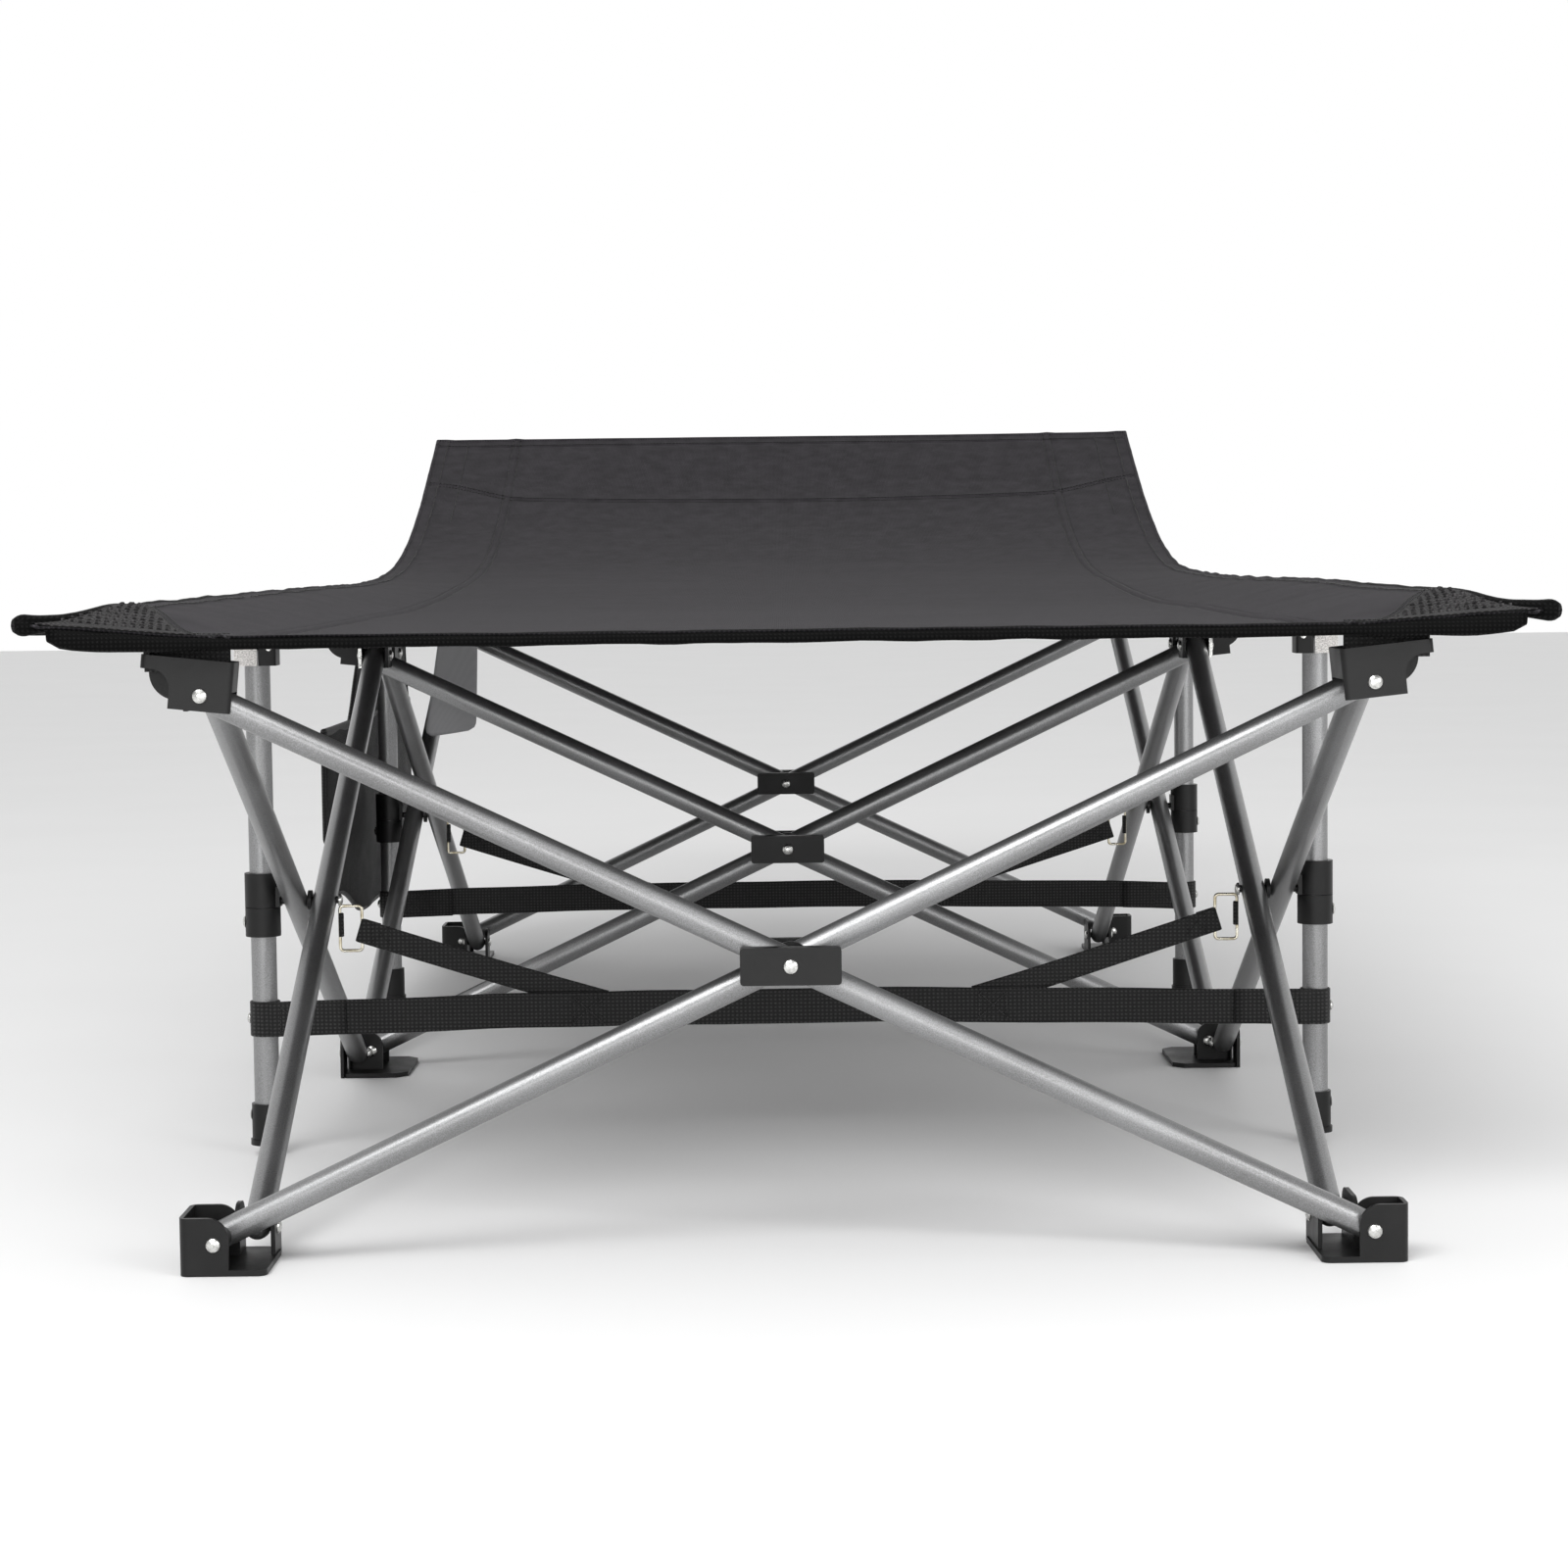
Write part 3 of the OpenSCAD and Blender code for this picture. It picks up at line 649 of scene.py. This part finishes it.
def front_band():
    verts, faces = [], []
    end, bend = 0.482, 0.36
    xs = np.concatenate([np.linspace(-end, -bend, 16), np.linspace(-bend, bend, 61)[1:-1],
                         np.linspace(bend, end, 16)])
    m = 12
    for x in xs:
        k = float(smooth_step(0.36, 0.455, abs(x)))
        fall = float(smooth_step(0.472, 0.482, abs(x)))
        wave = 0.0007 * noise.noise(Vector((x * 30, 2.2, 0)))
        for f, u in band_section(k):
            lift = 0.0045 * fall if u < -0.004 else 0
            z = float(bed_z(x, FRONT)) + u + lift + wave * (1 + (u < -0.004))
            verts.append((x, FRONT - f * (1 - 0.2 * fall), z))
    n = len(xs)
    for i in range(n - 1):
        for j in range(m):
            a, b = i * m + j, i * m + (j + 1) % m
            faces.append((a, a + m, b + m, b))
    faces.append(tuple(range(m)))
    faces.append(tuple((n - 1) * m + j for j in reversed(range(m))))
    return add_object("front_band", verts, faces, BAND)


def corner_inner(v):
    """Inner side of a corner patch, from the front edge (v = 0) back to the side edge (v = 1)."""
    y = FRONT + 0.003 + 0.132 * v
    return 0.385 + (float(half_width(FRONT + 0.135)) - 0.004 - 0.385) * v ** 0.9, y


def corner_patch(s):
    """Openwork mesh on a corner, ribbed webbing along its front and a double seam along its inner side."""
    rows = []
    for v in np.linspace(0, 1, 22):
        inner, y = corner_inner(v)
        outer = max(inner + 0.002, float(half_width(y)) - 0.0005)
        rows.append([on_bed(s * (inner + (outer - inner) * u), y, 0.0011) for u in np.linspace(0, 1, 18)])
    patch = shell("patch", np.array(rows), 0.0009, CORNER)
    ribs = []
    for v in np.linspace(0, 1, 14):
        y = FRONT + 0.0015 + 0.021 * v
        outer = float(half_width(y)) - 0.004
        ribs.append([on_bed(s * (0.392 + 0.012 * v + (outer - 0.392 - 0.012 * v) * u), y,
                            0.0004 + 0.0005 * math.sin(math.pi * v)) for u in np.linspace(0, 1, 20)])
    ribbed = shell("ribs", np.array(ribs), 0.0005, BAND)
    lines = []
    for offset in (0.0, 0.0042):
        lines.append([on_bed(s * (corner_inner(v)[0] - offset), corner_inner(v)[1], 0.0012)
                      for v in np.linspace(0, 1, 24)])
    thread = [stitches("st", line, 0.0036, 0.0027, 0.0005) for line in lines]
    # raised knots of the openwork
    for k, v in enumerate(np.linspace(0.14, 0.86, 12)):
        inner, y = corner_inner(v)
        outer = float(half_width(y)) - 0.004
        shift = 0.0028 * (k % 2)
        line = [on_bed(s * (inner + 0.005 + shift + (outer - inner - 0.005 - shift) * u), y, 0.0014)
                for u in np.linspace(0, 1, 12)]
        thread.append(stitches("knots", line, 0.0058, 0.0034, 0.0013, CORNER))
    # sleeve that hangs into the bracket, round the arm that carries the corner
    flap = [[(s * x, FRONT + 0.029, z) for x in np.linspace(0.3670, 0.424, 10)]
            for z in (0.427, 0.418, 0.410, 0.402)]
    thread.append(shell("sleeve", np.array(flap), 0.0012, WEB))
    return [patch, ribbed] + thread


front = [front_band()]
for s in (-1, 1):
    front += corner_patch(s)
band = join(front, "front_band")
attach(band, "bed_1")
fold_flat(band)


def turned_back(end, along, back, radius=0.0021):
    """Path of webbing doubled back at end: a layer of length back behind, then a half turn to the front."""
    end, along, behind = (np.array(p, float) for p in (end, along, (0, 1, 0)))
    turn = [end + radius * (behind * math.cos(a) - along * math.sin(a)) for a in np.linspace(0, math.pi, 9)]
    return [end + along * back + behind * radius] + turn


def upright_strap(name, path, width, thick, across=(0, 0, 1.0)):
    """Webbing that stands on edge: its width is along across."""
    pts = [np.array(p, float) for p in path]
    section = strap_section(width, thick)
    verts, faces = [], []
    m = len(section)
    n = len(pts)
    for i in range(n):
        a = pts[max(i - 1, 0)]
        b = pts[min(i + 1, n - 1)]
        t = b - a
        t /= np.linalg.norm(t)
        face = np.cross(t, across)
        face /= np.linalg.norm(face)
        wide = np.cross(face, t)
        for u, v in section:
            verts.append(pts[i] + wide * u + face * v)
    for i in range(n - 1):
        for j in range(m):
            a, b = i * m + j, i * m + (j + 1) % m
            faces.append((a, b, b + m, a + m))
    faces.append(tuple(reversed(range(m))))
    faces.append(tuple((n - 1) * m + j for j in range(m)))
    return add_object(name, verts, faces, WEB)


def dome(name, centre, direction, r, h, material):
    """Rivet head, turned from a round profile."""
    profile = [(0.35, h * 0.95), (0.65, h * 0.78), (0.88, h * 0.45), (1.0, h * 0.10), (1.0, -h * 0.4)]
    verts, faces = [], []
    n = 20
    direction = Vector(direction).normalized()
    turn = Vector((0, 0, 1)).rotation_difference(direction).to_matrix()
    for radius, z in profile:
        for k in range(n):
            a = 2 * math.pi * k / n
            out = r * radius
            verts.append(Vector(centre) + turn @ Vector((out * math.cos(a), out * math.sin(a), z)))
    verts.append(Vector(centre) + turn @ Vector((0, 0, h)))
    for i in range(len(profile) - 1):
        for k in range(n):
            a, b = i * n + k, i * n + (k + 1) % n
            faces.append((b, a, a + n, b + n))
    for k in range(n):
        faces.append((k, (k + 1) % n, len(verts) - 1))
    last = (len(profile) - 1) * n
    faces.append(tuple(last + k for k in reversed(range(n))))
    return add_object(name, verts, faces, material)


CORNERS = {"fl": (-1, 0), "fr": (1, 0), "rl": (-1, 1), "rr": (1, 1)}

for end, post in ((0, "post_fl"), (1, "post_rl")):
    y0 = POST_Y[end]
    zc = STRAP_MID_Z
    parts = []
    for s, own in ((-1, post), (1, post[:-1] + "r")):
        ring_path = [(s * POST_X + LOOP_R * math.cos(a), y0 + LOOP_R * math.sin(a), zc)
                     for a in np.linspace(math.radians(-90), math.radians(270), 30)]
        loop = upright_strap("strap_loop_" + own[-2:], ring_path, 0.028, 0.0017)
        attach(loop, own)
    mid = []
    for k in range(61):
        t = k / 60
        x = -POST_X - 0.002 + (2 * POST_X + 0.004) * t
        sag = 4 * t * (1 - t)
        wav = 0.0012 * noise.noise(Vector((t * 9, end * 3.0, 0.5)))
        mid.append((x, y0 - LOOP_R - 0.0004, zc + STRAP_SAG * sag + wav))
    parts.append(upright_strap("span", mid, 0.028, 0.0018))
    # the loose ends are doubled back and stitched down in boxes
    for s in (-1, 1):
        back = [(s * (POST_X - 0.006 - 0.06 * t), y0 - LOOP_R - 0.0023, zc + STRAP_SAG * 4 * (0.07 * t))
                for t in np.linspace(0, 1, 8)]
        parts.append(upright_strap("double", back, 0.0275, 0.0016))
    strap = join(parts, "post_strap_%d" % (end + 1))
    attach(strap, post)
    fold_flat(strap)
    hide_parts("strap_%d" % (end + 1))
    boxes = []
    for s in (-1, 1):
        for x0, x1 in ((POST_X - 0.014, POST_X - 0.036), (0.172, 0.150)):
            t = 0.5 - s * (x0 + x1) / 4 / POST_X
            zs = zc + STRAP_SAG * 4 * t * (1 - t) if x0 < 0.3 else zc
            y = y0 - LOOP_R - 0.0033
            c = [(s * x0, y, zs - 0.010), (s * x1, y, zs - 0.010),
                 (s * x1, y, zs + 0.010), (s * x0, y, zs + 0.010)]
            lines = [c + c[:1], [c[0], c[2]], [c[1], c[3]]]
            for line in lines:
                boxes.append(stitches("st", line, 0.0036, 0.0026, 0.0004))
    thread = join(boxes, "strap_stitching_%d" % (end + 1))
    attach(thread, post)
    fold_flat(thread)

for key, (s, end) in CORNERS.items():
    y0 = POST_Y[end]
    collar = "collar_" + key
    lo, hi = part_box("ring_" + key)
    cx, cy, cz = [(lo[i] + hi[i]) / 2 for i in range(3)]
    w = (hi[0] - lo[0]) / 2 - 0.0012
    h = (hi[2] - lo[2]) / 2 + 0.0015
    # wire ring: a rounded rectangle bent from one wire
    path = []
    r = 0.0028
    for qx, qz, a0 in ((w - r, h - r, 0), (-w + r, h - r, 90), (-w + r, -h + r, 180), (w - r, -h + r, 270)):
        for k in range(6):
            a = math.radians(a0 + 90 * k / 5)
            path.append((cx + qx + r * math.cos(a), cy, cz + qz + r * math.sin(a)))
    ring = sweep("wire_ring_" + key, path, ring_section(0.00125, 10), WIRE, up=(0, 1, 0), closed=True)
    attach(ring, collar)
    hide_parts("ring_" + key)
    # tab from the crossing bolt round the ring's outer side
    out = cx + s * w
    tab_z = cz + 0.0028
    away = s * (CROSS_IN - 0.0115) - out
    tab = turned_back((out - s * 0.0004, cy, tab_z), (s, 0, 0), abs(away))
    tab.append((out + away, cy - 0.0021, tab_z))
    parts = [upright_strap("tab", tab, 0.019, 0.0014)]
    # branch strap: looped on the ring's inner side, then down to the strap between the posts
    inn = cx - s * w
    end_x, end_z = s * 0.147, 0.120
    top_z = cz - 0.002
    slope = np.array((end_x - inn, 0, end_z - top_z))
    slope /= np.linalg.norm(slope)
    across = (-abs(slope[2]) * s, 0, abs(slope[0]))
    path = turned_back((inn + s * 0.0002, cy, top_z), slope, 0.013)
    yb = y0 - 0.0086
    for t in np.linspace(0.04, 1, 26):
        x = inn + (end_x - inn) * t
        z = top_z + (end_z - top_z) * t - 0.001 * math.sin(math.pi * t)
        y = cy - 0.0021 + (yb - cy + 0.0021) * float(smooth_step(0.2, 0.9, t))
        path.append((x, y, z))
    parts.append(upright_strap("branch", path, 0.019, 0.0015, across))
    web = join(parts, "branch_strap_" + key)
    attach(web, collar)
    fold_flat(web)
    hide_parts("branch_" + key)
    x_box = []
    xa, xb = inn - s * 0.008, inn - s * 0.022
    for line in ([(xa, cy - 0.0029, cz - 0.011), (xa, cy - 0.0029, cz + 0.005)],
                 [(xb, cy - 0.0029, cz - 0.013), (xb, cy - 0.0029, cz + 0.002)],
                 [(xa, cy - 0.0029, cz - 0.011), (xb, cy - 0.0029, cz + 0.002)],
                 [(xa, cy - 0.0029, cz + 0.005), (xb, cy - 0.0029, cz - 0.013)]):
        x_box.append(stitches("st", line, 0.0034, 0.0025, 0.0004))
    thread = join(x_box, "branch_stitching_" + key)
    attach(thread, collar)
    fold_flat(thread)


# ---- rivets through the strap loops ----
for key, (s, end) in CORNERS.items():
    place = (s * (POST_X + 0.0121), POST_Y[end], STRAP_MID_Z)
    rivet = dome("strap_rivet_" + key, place, (s, 0, 0), 0.0044, 0.0022, ZINC)
    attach(rivet, "post_" + key)


# ---- care tag: grey tape with rounded lower corners, hung from the inset seam and curling ----
def care_tag():
    lo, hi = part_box("care_tag")
    rows = []
    for v in np.linspace(0, 1, 40):
        z = hi[2] + (lo[2] - hi[2]) * v
        near_end = max(0.0, (v - 0.93) / 0.07)
        cut = 0.008 * (1 - math.sqrt(max(0.0, 1 - near_end ** 2)))
        row = []
        for u in np.linspace(0, 1, 16):
            left = lo[0] + 0.017 - 0.021 * v
            x = left + cut + (hi[0] - left - 2 * cut) * u
            y = lo[1] - 0.004 * v ** 2 + 0.0035 * math.sin(3.0 * u + 2.4 * v) * v
            row.append((x - 0.003 * v * v, y, z - 0.006 * (1 - u) * v))
        rows.append(row)
    return shell("care_tag_tape", np.array(rows), 0.0005, TAG)


tag = care_tag()
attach(tag, "bed_4")
fold_flat(tag)
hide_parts("care_tag")


# ---- side pocket: a mesh bag with a yoke, hung outside the bed's left edge ----
POUCH_Y = (-0.030, 0.700)
YOKE_Y = (0.185, 0.600)
POUCH_TOP = 0.306


def pouch_low(y):
    """Bottom line of the pouch: it drops towards the middle and has rounded corners."""
    base = 0.1385 - 0.0355 * float(smooth_step(0.06, 0.25, y))
    near = 0.060 * (1 - float(smooth_step(POUCH_Y[0], 0.065, y))) ** 1.3
    far = 0.045 * float(smooth_step(0.650, POUCH_Y[1], y)) ** 2
    return base + near + far


def pocket_wall(side, mid):
    """One wall of the pouch, bulging to its side; side is -1 for the outer wall."""
    rows = []
    for v in np.linspace(0, 1, 30):
        row = []
        for u in np.linspace(0, 1, 64):
            y = POUCH_Y[0] + (POUCH_Y[1] - POUCH_Y[0]) * u
            low = pouch_low(y)
            top = POUCH_TOP - (0.012 * math.sin(math.pi * u) if side < 0 else 0.0)
            z = top + (low - top) * v
            bulge = math.sin(math.pi * min(1.0, 0.16 + 0.86 * v)) ** 0.8
            half = 0.0006 + 0.0068 * math.sin(math.pi * u) ** 0.4 * bulge
            fold = 0.0016 * noise.noise(Vector((y * 16, z * 9, side * 2.0)))
            row.append((mid + side * half + fold, y, z))
        rows.append(row)
    grid = np.array(rows)
    return shell("wall", grid if side < 0 else grid[:, ::-1], 0.0007, POCKET)


def side_pocket():
    lo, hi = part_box("pocket")
    mid = (lo[0] + hi[0]) / 2
    parts = [pocket_wall(-1, mid), pocket_wall(1, mid)]
    # yoke: from the bed's hem down to the pouch, widening on its way
    rows = []
    for v in np.linspace(0, 1, 20):
        a = YOKE_Y[0] + 0.070 - 0.115 * v ** 1.3
        b = YOKE_Y[1] + 0.075 * v ** 1.3
        z = 0.439 + (POUCH_TOP - 0.004 - 0.439) * v
        row = []
        for u in np.linspace(0, 1, 36):
            y = a + (b - a) * u
            x = hi[0] - 0.0012 - 0.0055 * v + 0.0012 * noise.noise(Vector((y * 20, z * 14, 5.0)))
            row.append((x, y, z))
        rows.append(row)
    yoke = np.array(rows)
    parts.append(shell("yoke", yoke[:, ::-1], 0.0007, POCKET))
    for k in (0, -1):
        parts.append(sweep("yoke_edge", yoke[:, k], ring_section(0.0018, 8), WEB, up=(1, 0, 0)))
    ys = np.linspace(POUCH_Y[0] + 0.001, POUCH_Y[1] - 0.001, 60)
    span = POUCH_Y[1] - POUCH_Y[0]
    for dx, drop in ((-0.0036, 0.012), (0.0034, 0.0)):
        rim = [(mid + dx * math.sin(math.pi * (y - POUCH_Y[0]) / span) ** 0.4, y,
                POUCH_TOP - 0.001 - drop * math.sin(math.pi * (y - POUCH_Y[0]) / span)) for y in ys]
        parts.append(sweep("rim", rim, ring_section(0.0022, 8, 2.2), WEB))
    near, far = POUCH_Y
    top = POUCH_TOP - 0.002
    edge = [(mid, near + 0.001, z) for z in np.linspace(top, pouch_low(near) + 0.004, 12)]
    edge += [(mid, y, pouch_low(y) + 0.0018) for y in np.linspace(near + 0.004, far - 0.004, 70)]
    edge += [(mid, far - 0.001, z) for z in np.linspace(pouch_low(far) + 0.004, top, 12)]
    parts.append(sweep("bind", edge, ring_section(0.0022, 8), WEB, up=(1, 0, 0)))
    return join(parts, "side_pocket")


pocket = side_pocket()
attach(pocket, "top_ml")
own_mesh(pocket)
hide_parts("pocket")


# ---- CAD nodes: materials, with bolts and bare metal picked out face by face ----
def paint(node, base, extra=(), pick=None):
    """Gives a CAD node its material, and the faces that pick() names another."""
    mesh = NODES[node].data
    mesh.materials.clear()
    for material in (base, *extra):
        mesh.materials.append(material)
    for polygon in mesh.polygons:
        polygon.material_index = pick(polygon.center) if pick else 0


def bolt_test(bolts):
    """bolts: (axis as 0, 1 or 2, centre, plane, way). Faces past the plane, near the axis, are the bolt's."""

    def pick(c):
        for axis, centre, plane, way in bolts:
            off = [c[i] - centre[i] for i in range(3) if i != axis]
            if math.hypot(*off) < 0.0053 and (c[axis] - plane) * way > -0.0001:
                return 1
        return 0

    return pick


LAYER = 0.0113  # from a scissor's middle plane to a tube's axis
SKIN = 0.0137  # from a tube's axis to the outside of the plastic round it
FACE = LAYER + SKIN
SUNK = 0.0022  # a rear bolt head is sunk by this where a lengthwise tube ends close behind it
for row, letter in enumerate("fmr"):
    m = -1 if row == 2 else 1
    for side, hand in ((-1, "l"), (1, "r")):
        for kind in ("foot", "top"):
            z = LOW_Z if kind == "foot" else HIGH_Z
            near = (side < 0) == (kind == "foot")
            ty = LAYER if near else -LAYER
            back = ty + SKIN - (SUNK if ty > 0 else 0)
            centre = (side * HALF_SPAN, ROW_Y[row], z)
            bolts = [(1, centre, ROW_Y[row] - m * FACE, -m), (1, centre, ROW_Y[row] + m * back, m)]
            if kind == "foot":
                sx = -0.012 if row == 1 else 0.020
            else:
                sx = 0.012 if row == 1 else -0.002
            ways = (-1, 1) if row == 1 else ((1,) if row == 0 else (-1,))
            for w in ways:
                cx = side * (HALF_SPAN - sx)
                c2 = (cx, ROW_Y[row] + w * SIDE_PIVOT, z)
                inner = SKIN if not (kind == "foot" and row == 1) else 0.0105
                bolts.append((0, c2, cx + side * SKIN, side))
                bolts.append((0, c2, cx - side * inner, -side))
            paint(f"{kind}_{letter}{hand}", PLASTIC, (ZINC,), bolt_test(bolts))
for row in range(3):
    m = -1 if row == 2 else 1
    out = LAYER + 0.0095 + 0.0005
    centre = (0, ROW_Y[row], MID_Z)
    bolts = [(1, centre, ROW_Y[row] - m * (out + 0.011), -m), (1, centre, ROW_Y[row] + m * (out + 0.006), m)]
    paint(f"hub_{row + 1}", PLASTIC, (ZINC,), bolt_test(bolts))
for key, (s, end) in CORNERS.items():
    y0 = POST_Y[end]
    c = (s * CROSS_IN, y0, MID_Z)
    plane = s * (CROSS_IN - 0.0095 - 0.0022)
    paint("collar_" + key, PLASTIC, (ZINC,), bolt_test([(0, c, plane, -s)]))
    paint("post_" + key, POST_STEEL, (BARE,),
          lambda p: 1 if p[2] > 0.3905 and p[0] * s > POST_X - 0.002 and
          math.hypot(p[0] - s * POST_X, p[1] - y0) > 0.01005 else 0)
    zs = (0.1755 + 0.1985) / 2
    bolts = [(0, (s * POST_X, y0, zs), s * (POST_X + 0.0142), s),
             (0, (s * POST_X, y0, 0.032), s * (POST_X + 0.0126), s),
             (1, (s * (POST_X - 0.012), y0, 0.405), y0 - 0.0121, -1)]
    paint("fittings_" + key, PLASTIC, (ZINC,), bolt_test(bolts))
for node in NODES:
    if node.startswith(("cross_", "side_", "head_arm")):
        paint(node, STEEL)

# ---- sheets ----
AREAS = {}
for (name, node, body), a, b in zip(BED_PIECES, CUTS, CUTS[1:]):
    pick = (BED_YS >= a - 1e-6) & (BED_YS <= b + 1e-6)
    g = BED[pick]
    du = g[1:, :-1] - g[:-1, :-1]
    dv = g[:-1, 1:] - g[:-1, :-1]
    area = float(np.linalg.norm(np.cross(du, dv), axis=2).sum())
    length = float(np.linalg.norm(np.diff(g[:, g.shape[1] // 2], axis=0), axis=1).sum())
    width = float(np.linalg.norm(np.diff(g, axis=1), axis=2).sum(axis=1).max())
    AREAS[node] = (round(width, 3), round(length, 3), round(area, 4))
print("sheets", json.dumps(AREAS))


# ---- stage ----
def stage():
    size, level = 14.0, -0.0003
    verts = [(-size, -size, level), (size, -size, level), (size, size, level), (-size, size, level)]
    m = Mat("floor", (0.86, 0.86, 0.86), 0.7)
    m.color(m.ramp(m.noise(3, 2), (0.84, 0.84, 0.84), (0.87, 0.87, 0.87)))
    floor = add_object("floor", verts, [(0, 1, 2, 3)], m.mat, False)

    def area(name, place, at, size, power):
        light = bpy.data.lights.new(name, "AREA")
        light.shape = "RECTANGLE"
        light.size, light.size_y = size
        light.energy = power
        obj = bpy.data.objects.new(name, light)
        bpy.context.scene.collection.objects.link(obj)
        obj.location = place
        obj.rotation_euler = (Vector(at) - Vector(place)).to_track_quat("-Z", "Y").to_euler()

    area("key", (-1.2, -3.6, 3.2), (0, -0.4, 0.25), (3.0, 1.6), 120)
    area("fill", (2.6, -3.2, 1.4), (0, -0.4, 0.25), (1.6, 1.6), 40)
    area("low", (0.0, -4.2, 0.7), (0, -0.6, 0.25), (3.2, 0.8), 25)
    world = bpy.data.worlds.new("studio")
    world.use_nodes = True
    tree = world.node_tree
    background = tree.nodes["Background"]
    background.inputs["Strength"].default_value = 1.0
    # bright behind the cot and near the horizon, dimmer above and in front of it
    coord = tree.nodes.new("ShaderNodeTexCoord")
    mapping = tree.nodes.new("ShaderNodeMapping")
    mapping.inputs["Location"].default_value = (0.5, 0.5, 0.0)
    mapping.inputs["Scale"].default_value = (0.0, 0.35, -0.45)
    split = tree.nodes.new("ShaderNodeSeparateXYZ")
    total = tree.nodes.new("ShaderNodeMath")
    total.operation = "ADD"
    ramp = tree.nodes.new("ShaderNodeValToRGB")
    ramp.color_ramp.elements[0].position = 0.30
    ramp.color_ramp.elements[0].color = (0.72, 0.72, 0.72, 1)
    ramp.color_ramp.elements[1].position = 0.74
    ramp.color_ramp.elements[1].color = (1, 1, 1, 1)
    tree.links.new(coord.outputs["Generated"], mapping.inputs["Vector"])
    tree.links.new(mapping.outputs["Vector"], split.inputs["Vector"])
    tree.links.new(split.outputs["Y"], total.inputs[0])
    tree.links.new(split.outputs["Z"], total.inputs[1])
    tree.links.new(total.outputs[0], ramp.inputs["Fac"])
    tree.links.new(ramp.outputs["Color"], background.inputs["Color"])
    bpy.context.scene.world = world


stage()
bpy.context.scene.view_settings.view_transform = "Standard"
